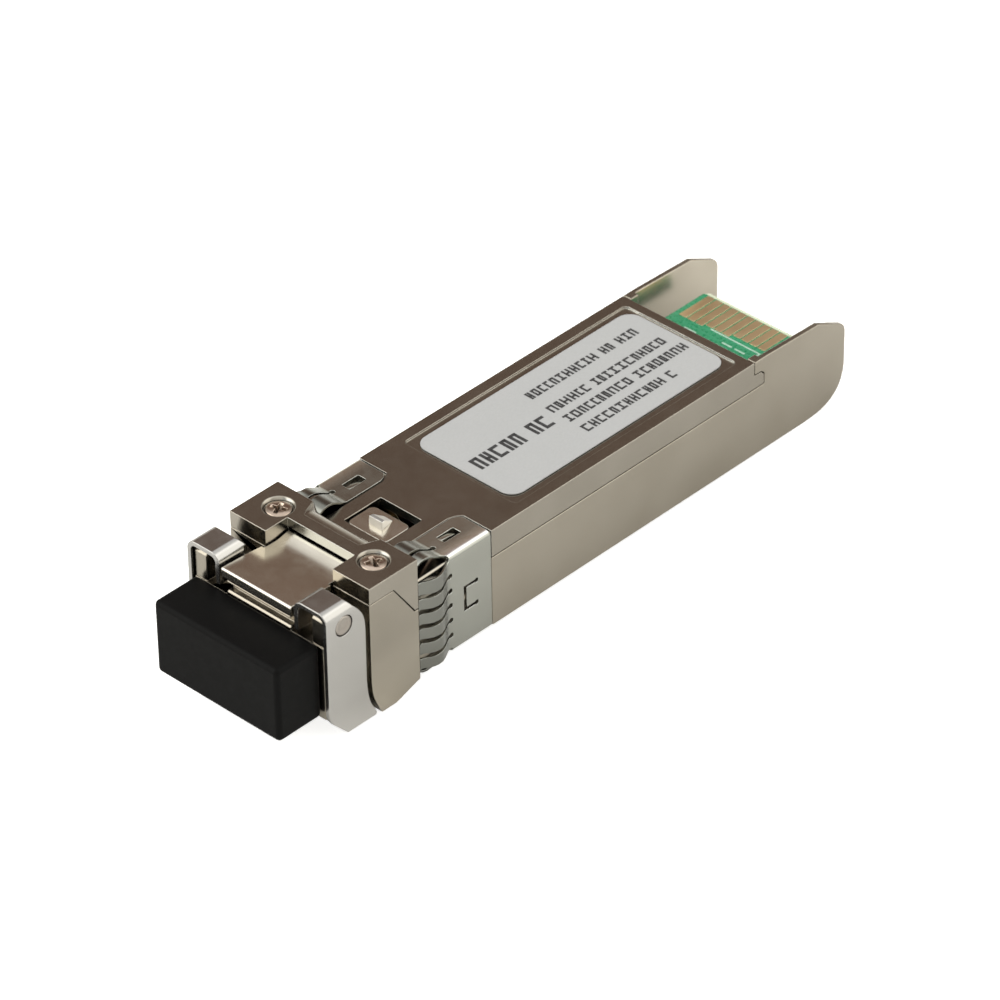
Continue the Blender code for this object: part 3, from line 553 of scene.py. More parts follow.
# painted shade on the right-facing sides, painted highlight on the front faces
nickel_top = plated(
    "nickel_cover", base=(0.370, 0.342, 0.294), dark=(0.338, 0.311, 0.265),
    rough=0.22, rough_var=0.03, edge_wear_and_highlight=0.75, crevice_shade=0.40, front_face_highlight_gain=1.15,
    painted_light_zones=((0.87, {"nx": (0.6, 0.9)}),))
nickel_lever = plated(
    "nickel_lever", base=(0.70, 0.665, 0.590), dark=(0.65, 0.612, 0.535),
    rough=0.21, grain_depth=0.00012, streak=(0.3, 1.0, 1.0), edge_wear_and_highlight=0.6, edge=0.04)
# painted light: the right-facing sides grow lighter towards the bottom
nickel_bail = plated(
    "nickel_sheet", base=(0.445, 0.436, 0.420), dark=(0.415, 0.407, 0.390),
    edge_wear_and_highlight=0.75, edge=0.05, painted_light_zones=((1.26, {"nx": (0.5, 0.8), "z": (2.0, -1.4)}),))
# painted light and shade: besides the collar function's lit top, dimmed front and lit corners, the
# front fingers' tops, the left top and the right top bend are darkened
steel = plated(
    "spring_steel", base=(0.352, 0.357, 0.326), dark=(0.325, 0.330, 0.299),
    rough=0.22, streak=(1.0, 0.12, 1.0), wave=0.0015, edge_wear_and_highlight=0.85, crevice_shade=0.70,
    shading=collar_painted_light,
    painted_light_zones=((0.62, {"nz": (0.05, 0.35), "y": (-18.3, -18.9)}),
           (0.74, {"nz": (0.3, 0.8), "x": (0.0, -2.0), "y": (-18.9, -18.3)}),
           (0.70, {"nz": (0.25, 0.45), "nx": (0.35, 0.6), "y": (-18.9, -18.3)})))
screw_metal = plated(
    "screw_nickel", base=(0.60, 0.50, 0.42), dark=(0.45, 0.36, 0.29),
    rough=0.20, grain=12.0, wave=0.0, edge_wear_and_highlight=0.8, edge=0.04, crevice_shade=0.95)
pin_metal = plated(
    "pin_nickel", base=(0.42, 0.39, 0.35), dark=(0.32, 0.29, 0.26),
    rough=0.34, grain=5.0, grain_depth=0.004, wave=0.0, edge_wear_and_highlight=0.6)
# a pale base colour standing in for the boss's bright reflection, with painted shade on its top
# faces
boss_metal = plated(
    "boss_painted_sheen", base=(0.84, 0.82, 0.79), dark=(0.78, 0.76, 0.72),
    rough=0.60, rough_var=0.10, wave=0.0, edge_wear_and_highlight=0.6, crevice_shade=0.1,
    painted_light_zones=((0.42, {"nz": (0.80, 0.92)}),))
gold_metal = plated(
    "gold_contact", base=(0.80, 0.62, 0.38), dark=(0.70, 0.53, 0.31),
    rough=0.36, grain=8.0, wave=0.0, edge_wear_and_highlight=0.3, edge=0.03, crevice_shade=0.0)
can_metal = plated(
    "gold_can", base=(0.72, 0.60, 0.38), dark=(0.60, 0.48, 0.30), rough=0.25, edge_wear_and_highlight=0.4)


# ================================================================ other materials
def rubber_mat():
    """Near-black rubber with dust and raised specks."""
    mat, net, surface = fresh("moulded_rubber")
    pos = net.mm()
    fine = net.noise(pos, scale=11.0, detail=4.0, rough=0.6)
    dust = net.noise(pos, scale=1.1, detail=5.0, rough=0.7, distort=0.4)
    lint = net.node("ShaderNodeTexVoronoi", feature="F1")
    net.feed(lint, {"Vector": pos, "Scale": 0.55})
    specks = net.ramp(lint.outputs["Distance"], start=0.02, end=0.05, low=1.5, high=0.0)
    net.feed(surface, {
        "Base Color": net.mix(net.ramp(dust, start=0.50, end=0.85, high=0.35),
                              (0.0040, 0.0040, 0.0040), (0.0095, 0.0095, 0.0092)),
        "Roughness": net.ramp(dust, start=0.3, end=0.8, low=0.40, high=0.56),
        "Specular IOR Level": 0.05,
        "Normal": net.bump(net.math("ADD", fine, specks), depth=0.0030),
    })
    return mat


def label_mat():
    """Silver paper with a faint fibre along the module."""
    mat, net, surface = fresh("silver_label")
    fibre = net.noise(net.mm((1.0, 0.3, 1.0)), scale=14.0, detail=4.0, rough=0.6)
    smear = net.noise(net.mm(), scale=0.25, detail=3.0)
    tone = net.mix(net.ramp(fibre, start=0.3, end=0.7),
                   (0.362, 0.367, 0.372), (0.390, 0.395, 0.400))
    net.feed(surface, {
        "Base Color": net.mix(net.ramp(smear, start=0.35, end=0.75, high=0.25),
                              tone, (0.345, 0.350, 0.355)),
        "Roughness": net.ramp(smear, start=0.3, end=0.7, low=0.58, high=0.66),
        "Specular IOR Level": 0.25,
        "Normal": net.bump(fibre, depth=0.0008),
    })
    return mat


def ink_mat():
    """Worn black print."""
    mat, net, surface = fresh("print_ink")
    worn = net.noise(net.mm(), scale=6.0, detail=3.0, rough=0.7)
    net.feed(surface, {
        "Base Color": net.mix(net.ramp(worn, start=0.35, end=0.75),
                              (0.012, 0.012, 0.013), (0.055, 0.055, 0.058)),
        "Roughness": 0.55,
        "Normal": net.bump(worn, depth=0.0006),
    })
    return mat


def board_mat():
    """Green solder mask; bare pale laminate shows at the rear edge."""
    mat, net, surface = fresh("solder_mask")
    pos = net.mm()
    weave = net.noise(net.mm((1.0, 1.0, 4.0)), scale=3.2, detail=3.0, rough=0.6)
    tracks = net.node("ShaderNodeTexBrick")
    net.feed(tracks, {"Vector": net.vmath("MULTIPLY", pos, (1.4, 0.5, 1.0)),
                      "Scale": 1.0, "Mortar Size": 0.03})
    lines = tracks.outputs["Fac"]
    green = net.mix(net.ramp(weave, start=0.3, end=0.7),
                    (0.020, 0.205, 0.095), (0.030, 0.270, 0.130))
    green = net.mix(net.math("MULTIPLY", lines, 0.35), green, (0.06, 0.36, 0.20))
    rear_lip = net.ramp(net.split(pos)["Y"], start=21.44, end=21.52)
    relief = net.math("ADD", weave, net.math("MULTIPLY", lines, 1.2))
    net.feed(surface, {
        "Base Color": net.mix(rear_lip, green, (0.62, 0.68, 0.52)),
        "Roughness": net.ramp(weave, start=0.3, end=0.7, low=0.24, high=0.36),
        "Normal": net.bump(relief, depth=0.008),
    })
    return mat


def plain_mat(name, dark, light, rough, depth=0.002):
    """A plain stuff, mottled between two colours."""
    mat, net, surface = fresh(name)
    mottle = net.noise(net.mm(), scale=3.0, detail=3.0, rough=0.6)
    net.feed(surface, {
        "Base Color": net.mix(net.ramp(mottle, start=0.3, end=0.7), dark, light),
        "Roughness": net.ramp(mottle, start=0.3, end=0.7, low=rough - 0.05, high=rough + 0.08),
        "Normal": net.bump(mottle, depth=depth),
    })
    return mat


rubber = rubber_mat()
label_paper = label_mat()
ink = ink_mat()
solder_mask = board_mat()
silkscreen = plain_mat("silkscreen", (0.34, 0.52, 0.42), (0.44, 0.62, 0.52), rough=0.5)
mould = plain_mat("mould_compound", (0.018, 0.018, 0.019), (0.035, 0.034, 0.034), rough=0.5,
                  depth=0.003)
film = plain_mat("flex_film", (0.42, 0.20, 0.03), (0.55, 0.30, 0.06), rough=0.35)
gel = plain_mat("gap_filler", (0.30, 0.40, 0.50), (0.38, 0.47, 0.56), rough=0.7)
tan = plain_mat("capacitor_ceramic", (0.36, 0.24, 0.13), (0.46, 0.33, 0.20), rough=0.45)
zirconia = plain_mat("zirconia", (0.80, 0.79, 0.75), (0.88, 0.87, 0.83), rough=0.25)


# ================================================================ base housing
# outlines are (y, z); these two runs are smoothed
WING_TAIL = [(40.6, 0.0), (41.7, 0.08), (42.6, 0.25), (43.4, 0.55), (44.1, 1.05), (44.6, 1.75),
             (44.9, 2.6), (REAR, 3.5)]
BLOCK_CHIN = [(BLOCK_FRONT, 2.2), (-6.70, 0.90), (-6.28, -0.20), (-5.90, -1.00)]
NOSE_STEP = [(-7.40, 7.0), (-7.40, 8.48), (-10.97, 8.48), (-10.97, 8.34), (-10.40, 8.34),
             (-10.40, 7.60), (-10.84, 7.60), (-11.00, 7.44), (-11.00, 7.0)]
TAIL_R, RIB_R = 0.9, 1.17


def base_body():
    """The body, the front block and the nose, all still solid."""
    side_line = ([(-3.0, 0.0)] + smooth_line(WING_TAIL, 3)
                 + arc((REAR - TAIL_R, 6.26), TAIL_R, 0, 72, 8)
                 + [(41.85, 8.32), (36.2, TOP), (34.66, TOP), (34.66, 7.40), (35.40, 7.36),
                    (35.76, 7.05), (35.76, SEAM - GAP), (-3.0, SEAM - GAP)])
    block_line = ([(BLOCK_FRONT, 9.06), (BLOCK_FRONT, 2.2)] + smooth_line(BLOCK_CHIN, 4)[1:]
                  + [(-4.40, -1.00), (BLOCK_REAR, -0.20), (BLOCK_REAR, SEAM - GAP),
                     (-2.33, SEAM - GAP), (-4.40, 9.06)])
    rib_line = ([(-10.90, 7.0), (-10.90, 9.46), (-10.56, 9.80)]
                + arc((PIN_Y, PIN_Z), RIB_R, 64, 0, 10) + [(PIN_Y + RIB_R, 7.0)])
    base = plate("base", side_line, "YZ", (-BODY, BODY))
    add(base, plate("base_block", block_line, "YZ", (-BLOCK, BLOCK)))
    add(base, box("base_core", (-6.30, 6.30), (-6.50, -2.42), (3.0, 9.03)))
    add(base, box("base_nose", (-6.50, 6.50), (-11.00, -6.0), (0.90, 7.28)))
    add(base, plate("nose_roof_step", NOSE_STEP, "YZ", (-3.20, 3.20)))
    for side, sign in SIDES:
        add(base, plate("rib_" + side, rib_line, "YZ", side_span(sign, 5.32, 6.50)))
    return base


def build_base():
    base = base_body()
    cut(base, box("base_cavity", (-5.90, 5.90), (-2.0, 35.55), (1.0, 8.9)))
    cut(base, box("rear_opening", (-6.25, 6.25), (35.50, 47.0), (-1.0, 10.0)))
    for side, sign in SIDES:
        add(base, box("ledge_" + side, side_span(sign, 5.05, 6.10), (12.0, 33.0), (0.5, 5.21)))
        cut(base, box("collar_groove_" + side, side_span(sign, 6.57, 7.5), GROOVE_Y, (-1.0, 9.0)))
        cut(base, box("tab_pocket_" + side, side_span(sign, 6.15, 7.5), (2.8, 4.6), (2.7, 5.6)))
        cut(base, box("finger_pocket_" + side, side_span(sign, 6.25, 7.5),
                      (-1.5, 1.95), (0.35, 7.4)))
        port = sign * PORT_X
        cut(base, box("port_" + side, (port - 2.45, port + 2.45), (-12.0, -3.0), (2.05, 6.95)))
        cut(base, box("port_key_" + side, (port - 1.5, port + 1.5), (-12.1, -7.0), (1.40, 2.4)))
        cut(base, rod("barrel_hole_" + side, "Y", (port, 0, PORT_Z), 1.60, (-3.3, -1.8)))
        cut(base, rod("screw_hole_" + side, "Z", (sign * SCREW_X, SCREW_Y, 0), 0.62, (7.35, 9.3)))
        cut(base, rod("pin_hole_" + side, "X", (0, PIN_Y, PIN_Z), 0.87,
                      side_span(sign, 5.50, 7.2)))
    cut(base, box("groove_bottom", (-7.0, 7.0), GROOVE_Y, (-1.5, 0.14)))
    cut(base, box("lever_pocket", (-3.36, 3.36), (-7.10, -1.80), (7.35, 9.6)))
    cut(base, rod("axle_seat", "X", (0, AXLE_Y, AXLE_Z), AXLE_HOLE, (-4.05, 4.05)))
    add(base, box("spring_post", (-0.85, 0.85), (0.70, 2.60), (0.5, 4.90)))
    tidy(applied(base))
    soften(base)
    shade(base)
    piece(base, "housing_shell", nickel, "housing", "base_housing")


# ================================================================ top cover
# outlines on the YZ plane, then half outlines of the right side as (x, y) and (x, z)
COVER_LINE = [(-2.2, TOP), (34.60, TOP), (34.60, 7.34), (35.38, 7.30), (35.70, 7.00),
              (35.70, SEAM + GAP), (-2.2, SEAM + GAP)]
BRIDGE_LINE = [(BLOCK_FRONT, 9.10), (BLOCK_FRONT, BRIDGE_TOP), (BLOCK_REAR, BRIDGE_TOP),
               (BLOCK_REAR, SEAM + GAP), (-2.30, SEAM + GAP), (-4.37, 9.10)]
FLAP_GROOVE = [(3.34, GROOVE_Y[0]), (7.4, GROOVE_Y[0]), (7.4, GROOVE_Y[1]),
               (3.88, GROOVE_Y[1]), (3.53, 5.54), (3.34, 4.94)]
RELIEF_EDGE = [(6.36, 8.12), (6.62, 8.12), (6.62, 7.86)]

# the rolled rear edge of the crossbar as (y, z), and its strength at each distance from the middle
ROLL = [(-3.55, 10.475), (-3.20, 10.43), (-2.90, 10.35), (-2.62, 10.22), (-2.36, 10.03),
        (-2.16, 9.78), (-2.03, 9.48), (-1.98, 9.20)]
ROLL_FADE = [(2.7, 1.0), (3.0, 0.72), (3.25, 0.30), (3.45, 0.03)]


def rolled_edge_tool():
    """Rolls off the crossbar's rear edge between the screws, fading out towards them."""
    roll = smooth_line(ROLL, 3)
    shape = bmesh.new()
    loops = []
    for x, strength in [(-x, s) for x, s in reversed(ROLL_FADE)] + ROLL_FADE:
        ring = [(y * strength + BLOCK_REAR * (1 - strength),
                 BRIDGE_TOP - strength * (BRIDGE_TOP - z)) for y, z in roll]
        ring += [(-1.5, ring[-1][1]), (-1.5, 10.9), (ring[0][0], 10.9)]
        loops.append([shape.verts.new(place(x, y, z)) for y, z in ring])
    for one, two in zip(loops, loops[1:]):
        for k in range(len(one)):
            shape.faces.new([one[k - 1], one[k], two[k], two[k - 1]])
    shape.faces.new(loops[0])
    shape.faces.new(loops[-1])
    bmesh.ops.recalc_face_normals(shape, faces=shape.faces)
    return keep("ease", to_mesh("ease", shape))


def cut_cover_side(cover, side, sign):
    """The collar's seats and the screw's hole on one side of the cover."""
    screw = (sign * SCREW_X, SCREW_Y, 0)
    cut(cover, plate("flap_groove_" + side, mirrored(FLAP_GROOVE, sign), "XY", (8.335, 8.97)))
    cut(cover, box("finger_relief_" + side, side_span(sign, 3.38, 7.5),
                   (GROOVE_Y[0], 1.60), (8.07, 8.97)))
    cut(cover, plate("relief_edge_" + side, mirrored(RELIEF_EDGE, sign), "XZ",
                     (GROOVE_Y[0], 1.60)))
    cut(cover, box("window_pocket_" + side, side_span(sign, 4.2, 5.4), (2.5, 4.55), (7.90, 8.97)))
    cut(cover, box("cover_groove_" + side, side_span(sign, 6.57, 7.6), GROOVE_Y, (5.5, 8.95)))
    cut(cover, rod("screw_hole_" + side, "Z", screw, 0.66, (8.7, 10.0)))
    cut(cover, rod("countersink_" + side, "Z", screw, 0.62, (9.65, 10.20), 56, 1.07))
    cut(cover, rod("counterbore_" + side, "Z", screw, 1.06, (10.19, 10.53), 56, 1.25))


def build_cover():
    cover = plate("cover", COVER_LINE, "YZ", (-BODY, BODY))
    cut(cover, box("cover_cavity", (-5.98, 5.98), (-3.0, 33.90), (5.0, 7.70)))
    cut(cover, box("cover_rear_gap", (-5.98, 5.98), (33.5, 36.5), (5.0, 6.60)))
    cut(cover, box("cover_rear_step", (-5.98, 5.98), (34.60, 36.6), (5.2, 9.0)))
    add(cover, plate("bridge", BRIDGE_LINE, "YZ", (-BLOCK, BLOCK)))
    cut(cover, box("bridge_core_gap", (-6.33, 6.33), (-7.2, -2.37), (5.1, 9.06)))
    cut(cover, box("bridge_notch", (-3.37, 3.37), (-7.3, -4.60), (5.3, 11.0)))
    cut(cover, box("crossbar_under", (-3.36, 3.36), (-4.9, -2.37), (8.0, 9.62)))
    cut(cover, box("lever_passage", (-2.20, 2.20), (-3.1, 0.2), (5.4, 8.16)))
    cut(cover, box("latch_window", (-2.07, 2.07), (-0.22, 3.56), (7.0, 9.4)))
    cut(cover, plate("label_recess", rounded((-5.65, 5.65), (9.60, 33.75), 0.4),
                     "XY", (8.35, 9.0)))
    for side, sign in SIDES:
        cut_cover_side(cover, side, sign)
    tidy(applied(cover))
    soften(cover, 0.075)
    cut(cover, rolled_edge_tool())
    applied(cover)
    shade_by_angle(cover, 46)
    shade(cover)
    piece(cover, "cover_shell", nickel_top, "housing", "top_cover")


# ================================================================ screws
# (radius, z)
SCREW_PROFILE = [(0.0, 7.45), (0.50, 7.45), (0.58, 7.53), (0.58, 9.72), (0.97, 10.16),
                 (1.00, 10.22), (0.985, 10.28), (0.89, 10.33), (0.60, 10.37), (0.25, 10.39),
                 (0.0, 10.395)]
SCREW_TURN = {"left": 20, "right": 65}          # degrees
# half length, half width and height of each cross arm, at the top and at the bottom
ARM_TOP, ARM_BOTTOM = (0.74, 0.19, 10.50), (0.26, 0.08, 9.80)


def cross_arm(matrix):
    """A tapered wedge that cuts one arm of the driver's cross."""
    shape = bmesh.new()
    bmesh.ops.create_cube(shape, size=1.0)
    for vert in shape.verts:
        length, width, z = ARM_TOP if vert.co.z > 0 else ARM_BOTTOM
        x, y = math.copysign(length, vert.co.x), math.copysign(width, vert.co.y)
        vert.co = Vector((x, y, z)) * MM
    return keep("wedge", to_mesh("wedge", shape), matrix)


def build_screw(side, sign):
    axis = Matrix.Translation(place(sign * SCREW_X, SCREW_Y, 0))
    screw = revolved("screw", SCREW_PROFILE, axis)
    for k in range(2):
        turn = math.radians(SCREW_TURN[side]) + k * math.pi / 2
        cut(screw, cross_arm(axis @ Matrix.Rotation(turn, 4, "Z")))
    tidy(applied(screw))
    soften(screw, 0.025, angle=25)
    shade(screw)
    piece(screw, "screw_" + side, screw_metal, "housing", "cover_screw_" + side)


# ================================================================ bail and its pins
SHEET, BEND = 0.40, 0.62                        # sheet thickness, bend radius at its middle
CHEEK_IN, BAIL_TOP, BAIL_LOW = 3.75, 10.40, -1.33
# runs of the arm's side outline as (y, z), smoothed
ARM_REAR_HIGH = [(-8.95, 10.60), (-8.45, 10.00), (-7.90, 9.35), (-7.52, 8.70), (-7.33, 7.90),
                 (-7.30, 6.5)]
ARM_REAR_LOW = [(-7.33, 2.70), (-7.22, 1.50), (-6.98, 0.50), (-6.60, -0.25), (-6.38, -0.80),
                (-6.42, -1.20), (-6.58, -1.60)]
# (radius, distance from the middle along X)
PIN_PROFILE = [(0.0, 5.55), (0.75, 5.55), (0.80, 5.60), (0.80, 6.92), (0.75, 6.99), (0.62, 7.02),
               (0.56, 6.985), (0.30, 6.97), (0.0, 6.965)]


def bail_section():
    """The bent sheet seen along Y: cheek, cap, arm and bottom bar, on both sides."""
    cheek, arm = CHEEK_IN + SHEET / 2, BLOCK - SHEET / 2
    cap, bar = BAIL_TOP - SHEET / 2, BAIL_LOW + SHEET / 2
    half = ([(cheek, 7.60)]
            + arc((cheek + BEND, cap - BEND), BEND, 180, 90, 9)
            + arc((arm - BEND, cap - BEND), BEND, 90, 0, 9)
            + arc((arm - BEND, bar + BEND), BEND, 0, -90, 9))
    return ribbon(half + [(-x, z) for x, z in reversed(half)], SHEET)


def build_bail():
    bail = plate("bail", bail_section(), "XZ", (-11.6, -6.0))
    arm_line = ([(-11.15, 1.50), (-11.15, 10.60)] + smooth_line(ARM_REAR_HIGH, 4)
                + smooth_line(ARM_REAR_LOW, 4)
                + [(-8.55, -1.60), (-8.95, -1.30), (-10.70, 0.55), (-11.05, 1.05)])
    cheek_low = ([(-12.0, 7.0), (-12.0, 7.85), (-10.0, 7.80), (-9.40, 7.80)]
                 + arc((PIN_Y, PIN_Z), 0.95, -80, -35, 8) + [(-8.0, 8.10), (-8.0, 7.0)])
    boolean(bail, plate("bail_side", arm_line, "YZ", (-8.0, 8.0)), "INTERSECT")
    cut(bail, box("cheek_trim_rear", (-5.0, 5.0), (-8.62, -5.0), (5.0, 9.88)))
    cut(bail, plate("cheek_trim_low", cheek_low, "YZ", (-5.1, 5.1)))
    for side, sign in SIDES:
        cut(bail, rod("arm_hole_" + side, "X", (0, PIN_Y, PIN_Z), 0.85,
                      side_span(sign, 6.0, 7.5)))
        add(bail, rod("peg_" + side, "X", (0, -10.10, PIN_Z), 0.25,
                      side_span(sign, 3.12, 4.05), 24))
    tidy(applied(bail))
    soften(bail, 0.06, segments=3, angle=34)
    shade(bail)
    piece(bail, "bail_sheet", nickel_bail, "bail", "bail")


def build_pin(side, sign):
    turn = Matrix.Rotation(sign * math.pi / 2, 4, "Y")
    pin = revolved("pin", PIN_PROFILE, Matrix.Translation(place(0, PIN_Y, PIN_Z)) @ turn)
    tidy(pin, 0.0)
    shade(pin)
    piece(pin, "pin_" + side, pin_metal, "housing", "bail_pin_" + side)


# ================================================================ latch lever
# smoothed runs of the lever's side outline as (y, z)
LEVER_TOP = [(-11.02, 9.552), (-9.60, 9.47), (-8.40, 9.38), (-7.40, 9.29), (-6.80, 9.24),
             (-6.30, 9.215), (-5.80, 9.24), (-5.30, 9.325), (-4.80, 9.435), (-4.10, 9.46),
             (-3.20, 9.25), (-2.70, 8.85), (-2.56, 8.40)]
LEVER_UNDER = [(-5.00, 8.60), (-5.60, 8.72), (-6.90, 8.72), (-7.60, 8.92), (-8.30, 9.13),
               (-10.80, 9.13)]
# the boss's sections: y, z and half width at the front and at the back
BOSS = {-1: ((0.86, 8.20, 0.70), (2.45, 8.20, 0.42)),       # bottom
        1: ((0.94, 9.0, 0.66), (1.24, 9.0, 0.60))}          # top


def build_lever():
    lever_line = ([(-11.20, 8.80), (-11.20, 9.38)] + arc((-11.04, 9.39), 0.16, 172, 100, 5)
                  + smooth_line(LEVER_TOP, 4)
                  + [(-2.56, 8.05), (0.28, 8.05), (0.28, 7.55), (-2.40, 7.55), (-4.00, 7.66),
                     (-4.40, 8.05)]
                  + smooth_line(LEVER_UNDER, 3) + [(-10.80, 8.80)])
    lever = plate("lever", lever_line, "YZ", (-3.50, 3.50))
    for side, sign in SIDES:
        cut(lever, box("lever_side_" + side, side_span(sign, 3.25, 4.5), (-7.15, 3.5),
                       (7.0, 10.0)))
        cut(lever, box("tongue_side_" + side, side_span(sign, 1.93, 4.6), (-2.50, 3.6),
                       (6.9, 10.1)))
    cut(lever, rod("lever_bore", "X", (0, AXLE_Y, AXLE_Z), AXLE_HOLE, (-4.7, 4.7), 40))
    add(lever, plate("tongue", rounded((-1.93, 1.93), (-0.12, 2.60), 0.45), "XY", (7.552, 8.36)))
    tidy(applied(lever))
    soften(lever, 0.05, segments=3, angle=34)
    shade(lever)
    piece(lever, "lever_plate", nickel_lever, "latch", "latch_lever")


def build_boss():
    """The wedge that locks in the cage: upright front, sloping back, narrower behind."""
    shape = bmesh.new()
    bmesh.ops.create_cube(shape, size=1.0)
    for vert in shape.verts:
        y, z, half = BOSS[1 if vert.co.z > 0 else -1][vert.co.y > 0]
        vert.co = place(math.copysign(half, vert.co.x), y, z)
    boss = keep("boss", to_mesh("boss", shape))
    soften(boss, 0.06, segments=3, angle=20)
    shade(boss)
    piece(boss, "lever_boss", boss_metal, "latch")


# ================================================================ collar
# The sheet is cut flat, with u across it and v along Y, then wrapped round the body.
HALF_W, SHEET_TOP, SHEET_LOW = 6.69, 8.455, 0.02        # the sheet's middle line
CORNER, FLAP, THICK = 0.36, 3.47, 0.18      # bend radius, x of a flap's free edge, thickness
TURN_LEN = CORNER * math.pi / 2
FLAP_LEN = HALF_W - CORNER - FLAP
SIDE_LEN = SHEET_TOP - SHEET_LOW - 2 * CORNER
U_SIDE = FLAP_LEN + TURN_LEN
U_SIDE_END = U_SIDE + SIDE_LEN
U_LOW = U_SIDE_END + TURN_LEN
U_MID = U_LOW + (2 * (HALF_W - CORNER)) / 2
TOTAL = 2 * U_MID
MAX_STEP = 0.9                              # widest step of the grid in u

# how far the fingers stand off the body: (v, lift)
BULGE = [(-1.95, 0.17), (-1.62, 0.19), (-1.48, 0.25), (-1.20, 0.46), (-0.85, 0.64), (-0.45, 0.72),
         (0.0, 0.68), (0.40, 0.52), (0.80, 0.30), (1.15, 0.11), (1.45, 0.01), (1.60, 0.0),
         (6.5, 0.0)]
GRID_V = [-1.85, -1.62, -1.48, -1.34, -1.20, -1.03, -0.85, -0.65, -0.45, -0.22, 0.0, 0.20, 0.40,
          0.60, 0.80, 0.98, 1.15, 1.30, 1.45, 1.60, 2.4, 3.2, 4.0, 4.6, 5.2, 5.82]

OPEN_V = -2.4                               # where the cutters start, ahead of the sheet
SLIT_FRONT, SLIT_REAR, SLIT_END, SLIT_R = 0.46, 0.27, 1.60, 0.22    # widths, end, relief radius
SLIT_TOP_X = 5.08
SLIT_SIDE_Z = (6.88, 5.56, 4.24, 2.91, 1.57)
LOW_PITCH, LOW_SLITS = 12.98 / 9, 8
TAB_Z, TAB_V, TAB_HALF = (5.08, 3.10), (3.14, 4.15), 0.13   # legs, reach, half width of the slit
SINK_Z, SINK_V, SINK = (5.14, 3.20), (3.15, 4.2), 0.03      # where the tab is pressed in
# the flap tongue's side outline as (y, z)
TONGUE_LINE = [(2.60, 8.37), (3.05, 8.36), (3.60, 8.31), (4.16, 8.22), (4.20, 8.30), (3.62, 8.42),
               (3.06, 8.48), (2.60, 8.50)]


def sheet_point(u):
    """The middle line's (x, z) and outward direction, at u from the right flap's free edge."""
    if u > U_MID:
        (x, z), (nx, nz) = sheet_point(TOTAL - u)
        return (-x, z), (-nx, nz)
    if u <= FLAP_LEN:
        return (FLAP + u, SHEET_TOP), (0.0, 1.0)
    if u <= U_SIDE:
        angle, centre_z = math.pi / 2 - (u - FLAP_LEN) / CORNER, SHEET_TOP - CORNER
    elif u <= U_SIDE_END:
        return (HALF_W, SHEET_TOP - CORNER - (u - U_SIDE)), (1.0, 0.0)
    elif u <= U_LOW:
        angle, centre_z = -(u - U_SIDE_END) / CORNER, SHEET_LOW + CORNER
    else:
        return (HALF_W - CORNER - (u - U_LOW), SHEET_LOW), (0.0, -1.0)
    nx, nz = math.cos(angle), math.sin(angle)
    return (HALF_W - CORNER + CORNER * nx, centre_z + CORNER * nz), (nx, nz)


def u_top(x):
    return x - FLAP


def u_side(z):
    return U_SIDE + (SHEET_TOP - CORNER - z)


def u_low(x):
    return U_LOW + (HALF_W - CORNER - x)


def bulge(v):
    (v0, lift0), (v1, lift1) = next(pair for pair in zip(BULGE, BULGE[1:])
                                    if pair[0][0] <= v <= pair[1][0])
    return lift0 + (lift1 - lift0) * ((v - v0) / (v1 - v0))


def grid_u():
    """Stations across the sheet: even steps, with stops at every bend and through it."""
    stops = [FLAP_LEN, U_SIDE, U_SIDE_END, U_LOW]
    for start in (FLAP_LEN, U_SIDE_END):
        stops += [start + TURN_LEN * k / 6 for k in range(1, 6)]
    stops += [TOTAL - stop for stop in stops]
    us = [0.0]
    while us[-1] < TOTAL - 1e-6:
        ahead = [stop for stop in stops if stop > us[-1] + 1e-6]
        us.append(min([us[-1] + MAX_STEP, TOTAL] + ahead))
    return us


def flat_sheet():
    us = grid_u()
    shape = bmesh.new()
    grid = {}
    for i, u in enumerate(us):
        for j, v in enumerate(GRID_V):
            for k, height in enumerate((-THICK / 2, THICK / 2)):
                grid[i, j, k] = shape.verts.new((u * MM, v * MM, height * MM))

    def face(*keys):
        shape.faces.new([grid[key] for key in keys])

    last_i, last_j = len(us) - 1, len(GRID_V) - 1
    for i in range(last_i):
        for j in range(last_j):
            face((i, j, 1), (i + 1, j, 1), (i + 1, j + 1, 1), (i, j + 1, 1))
            face((i, j, 0), (i, j + 1, 0), (i + 1, j + 1, 0), (i + 1, j, 0))
    for i in range(last_i):
        for j in (0, last_j):
            face((i, j, 0), (i + 1, j, 0), (i + 1, j, 1), (i, j, 1))
    for j in range(last_j):
        for i in (0, last_i):
            face((i, j, 0), (i, j, 1), (i, j + 1, 1), (i, j + 1, 0))
    bmesh.ops.recalc_face_normals(shape, faces=shape.faces)
    return keep("collar", to_mesh("collar", shape))


def keyhole(u):
    """A slit open at the front with a round relief at its rear end."""
    neck = math.degrees(math.asin(SLIT_REAR / 2 / SLIT_R))
    return ([(u - SLIT_FRONT / 2, OPEN_V), (u + SLIT_FRONT / 2, OPEN_V)]
            + arc((u, SLIT_END), SLIT_R, -90 + neck, 270 - neck, 14))


